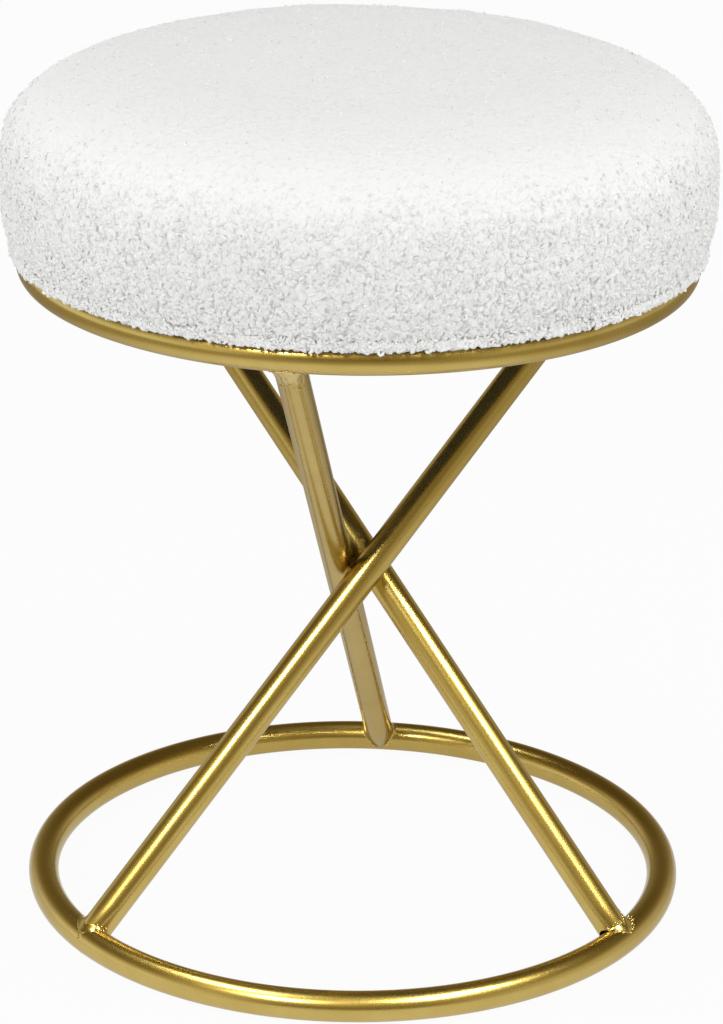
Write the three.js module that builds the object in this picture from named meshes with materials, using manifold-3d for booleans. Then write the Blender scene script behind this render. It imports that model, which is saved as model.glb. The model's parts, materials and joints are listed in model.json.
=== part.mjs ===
// Round vanity stool: an upholstered seat screwed to an hourglass frame of welded steel tube.
// Millimetres, +Z up, -Y towards the front. The origin is on the floor, on the axis of both rings.

import * as THREE from 'three';
import { mergeVertices } from 'three/addons/utils/BufferGeometryUtils.js';
import Module from 'manifold-3d';

const wasm = await Module();
wasm.setup();

// Frame: two level rings and three straight legs, all bent or cut from the same tube
const TUBE_DIAMETER = 16;
const TUBE_WALL = 1.2;
const RING_DIAMETER = 334.4; // centreline of the bent tube
const RING_SPACING = 344; // between the centrelines of the two rings
const VENT_DIAMETER = 4; // plating vent from a ring into the bore of each leg
const LEG_SHORTFALL = 1.5; // a leg stops this far before a ring's centreline, inside its cope
const LEG_NAMES = ['left', 'right', 'back'];
const FOOT_AZIMUTHS = [215, 327, 84.8]; // degrees, counted from +X, seen from above
const START_TWIST = 172.8; // degrees from a foot to its head, before the waist is closed

// Fits
const JOINT_GAP = 0.3; // air between pieces that touch or are welded on the real stool
const OVERRUN = 3; // how far a cut runs past the face that it opens

// Welds
const BEAD_DIAMETER = 4.4;
const BEAD_SWEEP = 220; // degrees of a leg's end that its bead runs round
const FOOT_BEAD_CENTRE = -90; // degrees, on the upper and outer side of a foot
const HEAD_BEAD_CENTRE = 90; // degrees, on the lower and outer side of a head
const WAIST_WELD_DIAMETER = 12.5;
const WAIST_TOUCH_DIAMETER = 4; // bare middle of a waist weld, where the two legs touch

// Tabs that carry the seat, and the screws through them
const TAB_COUNT = 4;
const TAB_THICKNESS = 2.5;
const TAB_WIDTH = 22;
const TAB_REACH = 24; // from the ring's centreline to the screw
const TAB_WELD_DIAMETER = 5;
const TAB_WELD_LENGTH = 18;
const SCREW_DIAMETER = 5.9;
const SCREW_LENGTH = 20;
const SCREW_HEAD_DIAMETER = 11;
const SCREW_HEAD_HEIGHT = 3.3;
const SCREW_HEAD_FLAT = 5; // flat end of the button head
const SOCKET_WIDTH = 4; // across the corners of the hexagon socket
const SOCKET_SIDES = 6;
const SOCKET_DEPTH = 2;
const SCREW_CHAMFER = 0.8;
const SCREW_CLEARANCE = 0.35; // round the shank, in a hole
const WASHER_DIAMETER = 14;
const WASHER_THICKNESS = 1.6;
const NUT_BARREL_DIAMETER = 8.2;
const NUT_BARREL_LENGTH = 9;
const NUT_FLANGE_DIAMETER = 19;
const NUT_FLANGE_THICKNESS = 1.4;

// Seat: board, foam, wadding, cover with a folded hem, and dust cover
const BOARD_THICKNESS = 12;
const SEAT_OVERHANG = 1.8; // cover beyond the ring's outside, at its lower edge
const SEAT_BULGE = 5.5; // widest part of the cushion beyond its lower edge
const WIDEST_HEIGHT = 27; // of the widest part above the hem
const CUSHION_HEIGHT = 100.8; // of the crown above the hem
const COVER_THICKNESS = 2.5;
const COVER_EDGE_RADIUS = 3; // where the cover turns under the board
const WADDING_THICKNESS = 5; // between the foam and the cover
const HEM_THICKNESS = 2.2;
const HEM_WIDTH = 24;
const DUST_COVER_THICKNESS = 0.8;
const DUST_COVER_MARGIN = 1.2; // from the inside of the ring to the dust cover's edge
const DRAW_IN_POWER = 3; // how quickly the side runs in below its widest part
const CROWN_POWER = 2.5; // superellipse power across the crown
const SHOULDER_POWER = 4.2; // superellipse power down the shoulder

// Facets
const RING_SIDES = 16;
const RING_STEPS = 64;
const BORE_SIDES = 8;
const BORE_STEPS = 48;
const LEG_SIDES = 16;
const BEAD_SIDES = 6;
const BEAD_STEPS = 10;
const HOLE_SIDES = 16;
const FASTENER_SIDES = 16;
const VENT_SIDES = 8;
const SPHERE_SIDES = 12;
const SEAT_STEPS = 44; // shared by every layer of the seat, so that their facets lie alongside
const EDGE_STEPS = 2;
const SIDE_STEPS = 4;
const CROWN_STEPS = 9;
const LINING_CROWN_STEPS = 6;
const DOME_STEPS = 3;

// Levels, from the floor up
const tubeRadius = TUBE_DIAMETER / 2;
const ringRadius = RING_DIAMETER / 2;
const baseRingZ = tubeRadius;
const topRingZ = baseRingZ + RING_SPACING;
const hemZ = topRingZ + tubeRadius + JOINT_GAP;
const hemTopZ = hemZ + HEM_THICKNESS;
const boardZ = hemTopZ + JOINT_GAP;
const boardTopZ = boardZ + BOARD_THICKNESS;
const foamZ = boardTopZ + JOINT_GAP;
const edgeZ = hemZ + COVER_EDGE_RADIUS;
const widestZ = hemZ + WIDEST_HEIGHT;
const crownZ = hemZ + CUSHION_HEIGHT;
const dustCoverZ = hemZ - JOINT_GAP - DUST_COVER_THICKNESS;
const tabZ = dustCoverZ - JOINT_GAP - TAB_THICKNESS;
const washerZ = tabZ - JOINT_GAP - WASHER_THICKNESS;
const bearingZ = washerZ - JOINT_GAP;

// Radii about the stool's axis
const footRadius = ringRadius + tubeRadius + SEAT_OVERHANG;
const widestRadius = footRadius + SEAT_BULGE;
const boardRadius = footRadius - COVER_THICKNESS - JOINT_GAP;
const hemRadius = boardRadius - HEM_WIDTH;
const dustCoverRadius = ringRadius - tubeRadius - DUST_COVER_MARGIN;
const screwCircleRadius = ringRadius - TAB_REACH;
const screwHoleRadius = SCREW_DIAMETER / 2 + SCREW_CLEARANCE;

// Depths below the outside of the cover
const waddingInset = COVER_THICKNESS + JOINT_GAP;
const foamInset = waddingInset + WADDING_THICKNESS + JOINT_GAP;

const Z_AXIS = new THREE.Vector3(0, 0, 1);
const QUARTER_TURN = Math.PI / 2;
const FULL_TURN = Math.PI * 2;

// Finishes, read from the photograph
const FINISHES = {
  frame: { color: 0xb39a58, roughness: 0.32, metalness: 1 },
  weld: { color: 0xc2a968, roughness: 0.4, metalness: 1 },
  cover: { color: 0xf0f0ec, roughness: 0.95, metalness: 0 },
  wadding: { color: 0xf6f6f3, roughness: 1, metalness: 0 },
  foam: { color: 0xe9e2c6, roughness: 0.9, metalness: 0 },
  board: { color: 0xc9a878, roughness: 0.75, metalness: 0 },
  cloth: { color: 0x2c2c2e, roughness: 0.95, metalness: 0 },
  fastener: { color: 0xb9bcc0, roughness: 0.35, metalness: 1 },
};

const stool = new THREE.Group();

function addPiece(name, geometry, finish) {
  const piece = new THREE.Mesh(geometry, new THREE.MeshStandardMaterial(FINISHES[finish]));
  piece.name = name;
  stool.add(piece);
}

// Closed surface with shared corners and no empty faces
function closed(geometry) {
  geometry.deleteAttribute('normal');
  geometry.deleteAttribute('uv');
  const merged = mergeVertices(geometry);
  const corners = merged.index.array;
  const faces = [];
  for (let i = 0; i < corners.length; i += 3) {
    const [a, b, c] = corners.slice(i, i + 3);
    if (a !== b && b !== c && c !== a) faces.push(a, b, c);
  }
  merged.setIndex(faces);
  merged.computeVertexNormals();
  return merged;
}

function solidFrom(geometry) {
  const surface = closed(geometry);
  return new wasm.Manifold(new wasm.Mesh({
    numProp: 3,
    vertProperties: new Float32Array(surface.attributes.position.array),
    triVerts: new Uint32Array(surface.index.array),
  }));
}

function geometryFrom(solid) {
  const mesh = solid.getMesh();
  const geometry = new THREE.BufferGeometry();
  geometry.setAttribute('position', new THREE.BufferAttribute(mesh.vertProperties, 3));
  geometry.setIndex(new THREE.BufferAttribute(mesh.triVerts, 1));
  geometry.computeVertexNormals();
  return geometry;
}

function less(solid, cutters) {
  return cutters.reduce((rest, cutter) => rest.subtract(cutter), solid);
}

// Outline of [radius, height] points turned about the stool's axis
function turned(outline, steps) {
  const points = outline.map(([radius, height]) => new THREE.Vector2(radius, height));
  return new THREE.LatheGeometry(points, steps).rotateX(QUARTER_TURN);
}

// Round bar from one point to another
function bar(radius, from, to, sides) {
  const span = new THREE.Vector3().subVectors(to, from);
  const geometry = new THREE.CylinderGeometry(radius, radius, span.length(), sides);
  geometry.rotateX(QUARTER_TURN);
  const turn = new THREE.Quaternion().setFromUnitVectors(Z_AXIS, span.clone().normalize());
  geometry.applyQuaternion(turn);
  return geometry.translate(...from.clone().addScaledVector(span, 1 / 2).toArray());
}

function onCircle(radius, azimuth, z) {
  return new THREE.Vector3(radius * Math.cos(azimuth), radius * Math.sin(azimuth), z);
}

// Ring tube with level flats above and below, as wide across its flats as the round tube
function ringTube(sectionRadius, z, sides, steps) {
  const cornerRadius = sectionRadius / Math.cos(Math.PI / sides);
  const outline = [];
  for (let i = 0; i < sides; i += 1) {
    const angle = (i + 1 / 2) * FULL_TURN / sides - QUARTER_TURN;
    outline.push([ringRadius + cornerRadius * Math.cos(angle), z + cornerRadius * Math.sin(angle)]);
  }
  outline.push(outline[0]);
  return turned(outline, steps);
}

// The legs' twists

function legAxis(index, twist) {
  const footAzimuth = THREE.MathUtils.degToRad(FOOT_AZIMUTHS[index]);
  const headAzimuth = footAzimuth + twist;
  const foot = onCircle(ringRadius, footAzimuth, baseRingZ);
  const head = onCircle(ringRadius, headAzimuth, topRingZ);
  const direction = new THREE.Vector3().subVectors(head, foot).normalize();
  return { foot, head, footAzimuth, headAzimuth, direction };
}

const LEG_PAIRS = [[0, 1], [1, 2], [2, 0]];

function axisDistance(a, b) {
  const across = new THREE.Vector3().crossVectors(a.direction, b.direction).normalize();
  return Math.abs(across.dot(new THREE.Vector3().subVectors(b.foot, a.foot)));
}

function pairDistances(twists) {
  const axes = twists.map((twist, index) => legAxis(index, twist));
  return new THREE.Vector3(...LEG_PAIRS.map(([a, b]) => axisDistance(axes[a], axes[b])));
}

// Newton's method: each pair of legs passes one tube and one gap apart at the waist
function closeWaist() {
  const NUDGE = 1e-4; // radians
  const ROUNDS = 12;
  const wanted = TUBE_DIAMETER + JOINT_GAP;
  const twists = FOOT_AZIMUTHS.map(() => THREE.MathUtils.degToRad(START_TWIST));
  for (let round = 0; round < ROUNDS; round += 1) {
    const distances = pairDistances(twists);
    const slopes = twists.map((_, index) => {
      const nudged = twists.map((twist, other) => (other === index ? twist + NUDGE : twist));
      return pairDistances(nudged).sub(distances).divideScalar(NUDGE);
    });
    const step = new THREE.Vector3(wanted, wanted, wanted).sub(distances);
    step.applyMatrix3(new THREE.Matrix3().set(
      slopes[0].x, slopes[1].x, slopes[2].x,
      slopes[0].y, slopes[1].y, slopes[2].y,
      slopes[0].z, slopes[1].z, slopes[2].z,
    ).invert());
    step.toArray().forEach((change, index) => {
      twists[index] += change;
    });
  }
  return twists;
}

const legs = closeWaist().map((twist, index) => legAxis(index, twist));

// Frame

const ringSpace = [baseRingZ, topRingZ].map((z) => (
  solidFrom(ringTube(tubeRadius + JOINT_GAP, z, RING_SIDES, RING_STEPS))));

const legSpace = legs.map((leg) => (
  solidFrom(bar(tubeRadius + JOINT_GAP, leg.foot, leg.head, LEG_SIDES))));

// Where a leg meets a ring: the point on the ring's centreline and the way along the leg
const feet = legs.map((leg) => ({ at: leg.foot, azimuth: leg.footAzimuth, along: leg.direction }));
const heads = legs.map((leg) => (
  { at: leg.head, azimuth: leg.headAzimuth, along: leg.direction.clone().negate() }));

function ventCutter(end) {
  const outside = end.at.clone().addScaledVector(end.along, tubeRadius + OVERRUN);
  return solidFrom(bar(VENT_DIAMETER / 2, end.at, outside, VENT_SIDES));
}

function hollowRing(z, ends) {
  const tube = solidFrom(ringTube(tubeRadius, z, RING_SIDES, RING_STEPS));
  const bore = solidFrom(ringTube(tubeRadius - TUBE_WALL, z, BORE_SIDES, BORE_STEPS));
  return geometryFrom(less(tube, [bore, ...ends.map(ventCutter)]));
}

function makeRings() {
  addPiece('base_ring', hollowRing(baseRingZ, feet), 'frame');
  addPiece('top_ring', hollowRing(topRingZ, heads), 'frame');
}

function makeLegs() {
  legs.forEach((leg, index) => {
    const start = leg.foot.clone().addScaledVector(leg.direction, LEG_SHORTFALL);
    const end = leg.head.clone().addScaledVector(leg.direction, -LEG_SHORTFALL);
    const tube = solidFrom(bar(tubeRadius, start, end, LEG_SIDES));
    const bore = solidFrom(bar(tubeRadius - TUBE_WALL, leg.foot, leg.head, LEG_SIDES));
    addPiece(`leg_${LEG_NAMES[index]}`, geometryFrom(less(tube, [bore, ...ringSpace])), 'frame');
  });
}

// Welds

// Corner line between a leg and its ring, a saddle that falls away towards the leg's flanks
function saddlePath(end, centreDegrees) {
  const tangent = onCircle(1, end.azimuth + QUARTER_TURN, 0);
  const side = new THREE.Vector3().crossVectors(end.along, tangent).normalize();
  const flank = new THREE.Vector3().crossVectors(side, end.along);
  const points = [];
  for (let i = 0; i <= BEAD_STEPS; i += 1) {
    const degrees = centreDegrees + BEAD_SWEEP * (i / BEAD_STEPS - 1 / 2);
    const angle = THREE.MathUtils.degToRad(degrees);
    const rise = Math.hypot(tubeRadius * Math.cos(angle), BEAD_DIAMETER / 2);
    points.push(end.at.clone()
      .addScaledVector(end.along, rise)
      .addScaledVector(flank, tubeRadius * Math.cos(angle))
      .addScaledVector(side, tubeRadius * Math.sin(angle)));
  }
  return new THREE.CatmullRomCurve3(points);
}

function polygon(radius, sides) {
  const shape = new THREE.Shape();
  for (let i = 0; i < sides; i += 1) {
    const angle = i * FULL_TURN / sides;
    const point = [radius * Math.cos(angle), radius * Math.sin(angle)];
    if (i === 0) shape.moveTo(...point);
    else shape.lineTo(...point);
  }
  shape.closePath();
  return shape;
}

function endBead(end, index, centreDegrees) {
  const bead = solidFrom(new THREE.ExtrudeGeometry(polygon(BEAD_DIAMETER / 2, BEAD_SIDES), {
    extrudePath: saddlePath(end, centreDegrees),
    steps: BEAD_STEPS,
    bevelEnabled: false,
  }));
  return geometryFrom(less(bead, [legSpace[index], ...ringSpace]));
}

function makeEndWelds() {
  LEG_NAMES.forEach((name, index) => {
    addPiece(`weld_foot_${name}`, endBead(feet[index], index, FOOT_BEAD_CENTRE), 'weld');
    addPiece(`weld_head_${name}`, endBead(heads[index], index, HEAD_BEAD_CENTRE), 'weld');
  });
}

// Points on two leg axes where the legs pass closest
function closestPoints(a, b) {
  const across = new THREE.Vector3().crossVectors(a.direction, b.direction);
  const between = new THREE.Vector3().subVectors(b.foot, a.foot);
  const square = across.lengthSq();
  const alongA = new THREE.Vector3().crossVectors(between, b.direction).dot(across) / square;
  const alongB = new THREE.Vector3().crossVectors(between, a.direction).dot(across) / square;
  const onA = a.foot.clone().addScaledVector(a.direction, alongA);
  const onB = b.foot.clone().addScaledVector(b.direction, alongB);
  return [onA, onB];
}

// Filler metal in the groove round each point where two legs touch
function makeWaistWelds() {
  LEG_PAIRS.forEach(([a, b]) => {
    const [onA, onB] = closestPoints(legs[a], legs[b]);
    const drop = new THREE.SphereGeometry(WAIST_WELD_DIAMETER / 2, SPHERE_SIDES, SPHERE_SIDES / 2);
    drop.translate(...onA.clone().lerp(onB, 1 / 2).toArray());
    const touch = solidFrom(bar(WAIST_TOUCH_DIAMETER / 2, onA, onB, HOLE_SIDES));
    const name = `weld_waist_${LEG_NAMES[a]}_${LEG_NAMES[b]}`;
    addPiece(name, geometryFrom(less(solidFrom(drop), [...legSpace, touch])), 'weld');
  });
}

// Seat tabs and fasteners, each made at azimuth 0 and then turned to its place

function tabBlank(grow) {
  const halfWidth = TAB_WIDTH / 2 + grow;
  const shape = new THREE.Shape();
  shape.moveTo(ringRadius, -halfWidth);
  shape.lineTo(ringRadius, halfWidth);
  shape.lineTo(screwCircleRadius, halfWidth);
  shape.absarc(screwCircleRadius, 0, halfWidth, QUARTER_TURN, QUARTER_TURN * 3, false);
  shape.closePath();
  const depth = TAB_THICKNESS + grow * 2;
  return new THREE.ExtrudeGeometry(shape, { depth, bevelEnabled: false, curveSegments: DOME_STEPS * 2 })
    .translate(0, 0, tabZ - grow);
}

function screwDrill(radius, fromZ, toZ) {
  const low = new THREE.Vector3(screwCircleRadius, 0, fromZ);
  const high = new THREE.Vector3(screwCircleRadius, 0, toZ);
  return bar(radius, low, high, HOLE_SIDES);
}

function makeTab() {
  const hole = screwDrill(screwHoleRadius, tabZ - OVERRUN, tabZ + TAB_THICKNESS + OVERRUN);
  return geometryFrom(less(solidFrom(tabBlank(0)), [solidFrom(hole), ringSpace[1]]));
}

// Bead under the tab, in the corner against the ring
function makeTabWeld() {
  const depth = tabZ - topRingZ;
  const cornerRadius = ringRadius - Math.sqrt(tubeRadius * tubeRadius - depth * depth);
  const start = new THREE.Vector3(cornerRadius, -TAB_WELD_LENGTH / 2, tabZ);
  const end = new THREE.Vector3(cornerRadius, TAB_WELD_LENGTH / 2, tabZ);
  const bead = solidFrom(bar(TAB_WELD_DIAMETER / 2, start, end, BEAD_SIDES + 2));
  return geometryFrom(less(bead, [solidFrom(tabBlank(JOINT_GAP)), ringSpace[1]]));
}

function besideScrew(outline) {
  return turned(outline, FASTENER_SIDES).translate(screwCircleRadius, 0, 0);
}

function makeWasher() {
  const top = washerZ + WASHER_THICKNESS;
  const rim = WASHER_DIAMETER / 2;
  return closed(besideScrew([
    [screwHoleRadius, washerZ],
    [rim, washerZ],
    [rim, top],
    [screwHoleRadius, top],
    [screwHoleRadius, washerZ],
  ]));
}

// Button head below, shank up through washer, tab, dust cover and board
function makeScrew() {
  const shank = SCREW_DIAMETER / 2;
  const headRadius = SCREW_HEAD_DIAMETER / 2;
  const flatRadius = SCREW_HEAD_FLAT / 2;
  const headZ = bearingZ - SCREW_HEAD_HEIGHT;
  const tipZ = bearingZ + SCREW_LENGTH;
  const outline = [[0, headZ]];
  for (let i = 0; i <= DOME_STEPS; i += 1) {
    const angle = i / DOME_STEPS * QUARTER_TURN;
    outline.push([
      flatRadius + (headRadius - flatRadius) * Math.sin(angle),
      bearingZ - SCREW_HEAD_HEIGHT * Math.cos(angle) ** (1 / 2),
    ]);
  }
  outline.push([shank, bearingZ], [shank, tipZ - SCREW_CHAMFER]);
  outline.push([shank - SCREW_CHAMFER, tipZ], [0, tipZ]);
  const low = new THREE.Vector3(screwCircleRadius, 0, headZ - OVERRUN);
  const high = new THREE.Vector3(screwCircleRadius, 0, headZ + SOCKET_DEPTH);
  const socket = bar(SOCKET_WIDTH / 2, low, high, SOCKET_SIDES);
  return geometryFrom(less(solidFrom(besideScrew(outline)), [solidFrom(socket)]));
}

// Flanged insert nut, its flange let in flush with the top of the board
function makeNut() {
  const barrel = NUT_BARREL_DIAMETER / 2;
  const flange = NUT_FLANGE_DIAMETER / 2;
  const flangeZ = boardTopZ - NUT_FLANGE_THICKNESS;
  const barrelZ = flangeZ - NUT_BARREL_LENGTH;
  return closed(besideScrew([
    [screwHoleRadius, barrelZ], [barrel, barrelZ], [barrel, flangeZ], [flange, flangeZ],
    [flange, boardTopZ], [screwHoleRadius, boardTopZ], [screwHoleRadius, barrelZ],
  ]));
}

function makeTabsAndFasteners() {
  for (let i = 0; i < TAB_COUNT; i += 1) {
    const turn = i * FULL_TURN / TAB_COUNT;
    addPiece(`seat_tab_${i + 1}`, makeTab().rotateZ(turn), 'frame');
    addPiece(`tab_weld_${i + 1}`, makeTabWeld().rotateZ(turn), 'weld');
    addPiece(`washer_${i + 1}`, makeWasher().rotateZ(turn), 'fastener');
    addPiece(`seat_screw_${i + 1}`, makeScrew().rotateZ(turn), 'fastener');
    addPiece(`insert_nut_${i + 1}`, makeNut().rotateZ(turn), 'fastener');
  }
}

// Seat

function disc(radius, fromZ, toZ) {
  return solidFrom(turned([[0, fromZ], [radius, fromZ], [radius, toZ], [0, toZ]], SEAT_STEPS));
}

// The same hole for every screw, in a piece that is turned about the stool's axis
function screwHoles(radius, fromZ, toZ) {
  const holes = [];
  for (let i = 0; i < TAB_COUNT; i += 1) {
    holes.push(solidFrom(screwDrill(radius, fromZ, toZ).rotateZ(i * FULL_TURN / TAB_COUNT)));
  }
  return holes;
}

function makeBoard() {
  const recessZ = boardTopZ - NUT_FLANGE_THICKNESS - JOINT_GAP;
  const holes = screwHoles(NUT_BARREL_DIAMETER / 2 + JOINT_GAP, boardZ - OVERRUN, boardTopZ + OVERRUN);
  const recesses = screwHoles(NUT_FLANGE_DIAMETER / 2 + JOINT_GAP, recessZ, boardTopZ + OVERRUN);
  const board = less(disc(boardRadius, boardZ, boardTopZ), [...holes, ...recesses]);
  addPiece('seat_board', geometryFrom(board), 'board');
}

// Radius of the cushion's side at a height, drawn in below its widest part
function sideRadius(z, inset) {
  const rise = THREE.MathUtils.clamp((z - edgeZ) / (widestZ - edgeZ), 0, 1);
  return widestRadius - inset - SEAT_BULGE * (1 - rise) ** DRAW_IN_POWER;
}

// Side and crown from a starting height up to the axis, set in from the cover's outside
function cushionOutline(startZ, inset, crownSteps) {
  const outline = [];
  for (let i = 0; i < SIDE_STEPS; i += 1) {
    const z = THREE.MathUtils.lerp(startZ, widestZ, i / SIDE_STEPS);
    outline.push([sideRadius(z, inset), z]);
  }
  for (let i = 0; i < crownSteps; i += 1) {
    const angle = (i / crownSteps) ** 2 * QUARTER_TURN;
    outline.push([
      (widestRadius - inset) * Math.cos(angle) ** (2 / CROWN_POWER),
      widestZ + (crownZ - inset - widestZ) * Math.sin(angle) ** (2 / SHOULDER_POWER),
    ]);
  }
  outline.push([0, crownZ - inset]);
  return outline;
}

function makeFoam() {
  const outline = cushionOutline(foamZ, foamInset, LINING_CROWN_STEPS);
  addPiece('foam_pad', closed(turned([[0, foamZ], ...outline], SEAT_STEPS)), 'foam');
}

// Soft layer over the foam, open below, where both rest on the board
function makeWadding() {
  const inside = cushionOutline(foamZ, waddingInset + WADDING_THICKNESS, LINING_CROWN_STEPS).reverse();
  const outside = cushionOutline(foamZ, waddingInset, LINING_CROWN_STEPS);
  addPiece('wadding', closed(turned([...inside, ...outside], SEAT_STEPS)), 'wadding');
}

// One skin from the crown down the side and round the board's edge to the folded hem
function makeCover() {
  const lining = cushionOutline(hemTopZ, COVER_THICKNESS, LINING_CROWN_STEPS).reverse();
  const hem = [[hemRadius, hemTopZ], [hemRadius, hemZ]];
  for (let i = 0; i < EDGE_STEPS; i += 1) {
    const angle = i / EDGE_STEPS * QUARTER_TURN;
    hem.push([
      footRadius - COVER_EDGE_RADIUS * (1 - Math.sin(angle)),
      edgeZ - COVER_EDGE_RADIUS * Math.cos(angle),
    ]);
  }
  const outside = cushionOutline(edgeZ, 0, CROWN_STEPS);
  addPiece('seat_cover', closed(turned([...lining, ...hem, ...outside], SEAT_STEPS)), 'cover');
}

function makeDustCover() {
  const top = dustCoverZ + DUST_COVER_THICKNESS;
  const holes = screwHoles(screwHoleRadius, dustCoverZ - OVERRUN, top + OVERRUN);
  const cloth = less(disc(dustCoverRadius, dustCoverZ, top), holes);
  addPiece('dust_cover', geometryFrom(cloth), 'cloth');
}

makeRings();
makeLegs();
makeEndWelds();
makeWaistWelds();
makeTabsAndFasteners();
makeBoard();
makeFoam();
makeWadding();
makeCover();
makeDustCover();

export default stool;
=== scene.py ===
"""Looks of a round vanity stool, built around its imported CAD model. Metres, +Z up, -Y towards the front."""

import json
import math

import bmesh
import bpy
import numpy as np
from bpy.props import FloatProperty, FloatVectorProperty, IntProperty, PointerProperty
from mathutils import Matrix, Vector

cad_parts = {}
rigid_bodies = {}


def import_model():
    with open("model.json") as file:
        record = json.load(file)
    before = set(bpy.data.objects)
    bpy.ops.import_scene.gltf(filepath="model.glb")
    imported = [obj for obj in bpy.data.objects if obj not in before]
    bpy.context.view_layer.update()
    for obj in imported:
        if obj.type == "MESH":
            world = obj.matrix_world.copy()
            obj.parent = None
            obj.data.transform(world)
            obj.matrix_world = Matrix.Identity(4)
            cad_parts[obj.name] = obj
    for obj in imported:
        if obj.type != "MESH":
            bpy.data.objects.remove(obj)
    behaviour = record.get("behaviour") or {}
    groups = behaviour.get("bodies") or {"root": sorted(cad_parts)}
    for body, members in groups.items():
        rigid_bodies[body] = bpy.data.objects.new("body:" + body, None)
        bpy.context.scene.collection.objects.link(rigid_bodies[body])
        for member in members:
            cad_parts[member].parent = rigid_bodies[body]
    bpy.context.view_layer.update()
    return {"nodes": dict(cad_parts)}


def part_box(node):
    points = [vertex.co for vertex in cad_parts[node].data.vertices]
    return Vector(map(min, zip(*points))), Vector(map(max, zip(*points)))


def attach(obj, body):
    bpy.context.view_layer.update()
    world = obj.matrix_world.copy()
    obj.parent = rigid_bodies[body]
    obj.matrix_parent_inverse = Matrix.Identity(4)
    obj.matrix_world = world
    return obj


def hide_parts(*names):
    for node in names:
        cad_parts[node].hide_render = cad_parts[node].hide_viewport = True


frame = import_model()

bl_info = {
    "name": "Vanity stool",
    "version": (1, 0, 0),
    "blender": (4, 5, 0),
    "location": "3D View > Sidebar > Stool",
    "description": "Builds a looped-pile vanity stool on a welded gold tube frame",
    "category": "Add Mesh",
}

BODY = "root"
FULL_TURN = 2 * math.pi
MM = 0.001
LEGS = ("left", "right", "back")
TABS = 4
RING_LOW, RING_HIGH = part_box("base_ring")
TUBE = RING_HIGH.z - RING_LOW.z
RING_WIDTH = RING_HIGH.x - RING_LOW.x - TUBE
COVER_LOW, COVER_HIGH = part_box("seat_cover")
TAB_LOW, TAB_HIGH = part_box("seat_tab_1")
SCREW_LOW, SCREW_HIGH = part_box("seat_screw_1")
SCREW_X = (SCREW_LOW.x + SCREW_HIGH.x) / 2
WASHER_LOW, WASHER_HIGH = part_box("washer_1")
DUST_LOW, DUST_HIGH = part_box("dust_cover")

# Distances from the stool's axis.
SEAM_RADIUS = 0.167
STAPLE_RADIUS = 0.1535
HEM_RADIUS = 0.1762
FRINGE_RADIUS = 0.1772
COVER_FOOT = 0.1775

SCREW_HOLE = 3.3 * MM
TOP_SEAM = math.radians(70)
FLOOR_HALF = 9.0
SOFTBOX_DISTANCE = 1.7


# Settings


def length(name, description, default):
    return FloatProperty(name=name, description=description, default=default, unit="LENGTH", precision=5)


def colour(name, description, default):
    return FloatVectorProperty(
        name=name, description=description, default=default, size=3, min=0, max=1, subtype="COLOR")


def angles(name, description, degrees):
    turns = [math.radians(d) for d in degrees]
    return FloatVectorProperty(name=name, description=description, default=turns, size=3, unit="ROTATION")


class STOOL_PG_frame(bpy.types.PropertyGroup):
    """Sizes of the welded tube frame."""

    tube: length("Tube diameter", "Outside of the tube that the whole frame is made of", TUBE)
    ring: length("Ring diameter", "Centreline of the two bent rings", RING_WIDTH)
    top_level: length(
        "Top ring height", "Centreline of the top ring above the floor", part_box("top_ring")[0].z + TUBE / 2)
    feet: angles("Feet", "Where the legs stand on the base ring, counted from the right", (215, 327, 84.8))
    heads: angles("Heads", "Where the legs meet the top ring", (27.855, 138.727, 258.591))
    foot_gaps: FloatVectorProperty(
        name="Foot gaps", description="Open joint at each foot, on the side that has no bead",
        default=(0.3 * MM, 1.8 * MM, 0.4 * MM), size=3, unit="LENGTH", precision=5)
    seam: FloatProperty(
        name="Seam", description="Where the base ring's ends are butted",
        default=math.radians(215.5), unit="ROTATION")


class STOOL_PG_seat(bpy.types.PropertyGroup):
    """Sizes of the cushion and of what holds it."""

    pile: length("Pile height", "Height of the looped pile", 1.7 * MM)
    nub: length("Nub size", "Width of one clump of loops", 4.0 * MM)
    swell: length("Swell", "How far the filling lifts the crown", 4 * MM)
    voxel: length("Sheet grain", "Edge of the cover's squares before it is filled", 4.2 * MM)
    loop: length("Loop size", "Width of one loop of yarn", 2.3 * MM)
    loop_gap: length("Loop spacing", "Least distance between two standing loops", 2.9 * MM)
    fringe: IntProperty(name="Fringe loops", description="Loops along the lower edge", default=1600, min=0)
    staples: IntProperty(name="Staples", description="Staples that hold the dust cover", default=44, min=3)


class STOOL_PG_colours(bpy.types.PropertyGroup):
    """Colours of the finishes."""

    gold: colour("Gold", "Satin lacquer on the tube", (0.575, 0.424, 0.106))
    deep_gold: colour("Deep gold", "The lacquer where it is thick or shaded", (0.500, 0.350, 0.068))
    weld_gold: colour("Weld gold", "Lacquer over rough weld metal", (0.720, 0.560, 0.230))
    yarn: colour("Yarn", "Tips of the looped pile", (0.940, 0.940, 0.924))
    # Painted shade: the grey that the pile's crevices and loop roots are painted, standing in for the shade
    # between the nubs of white yarn.
    ground: colour("Ground", "Shaded roots of the pile", (0.560, 0.550, 0.525))
    zinc: colour("Zinc", "Plate on screws, washers and staples", (0.600, 0.610, 0.620))
    ply: colour("Plywood", "Raw face of the board", (0.580, 0.400, 0.220))


class STOOL_PG_settings(bpy.types.PropertyGroup):
    """All settings of the stool."""

    frame: PointerProperty(type=STOOL_PG_frame, name="Frame", description="Sizes of the frame")
    seat: PointerProperty(type=STOOL_PG_seat, name="Seat", description="Sizes of the seat")
    colours: PointerProperty(type=STOOL_PG_colours, name="Colours", description="Colours of the finishes")


def stool():
    return bpy.context.scene.stool


# Node trees


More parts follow.
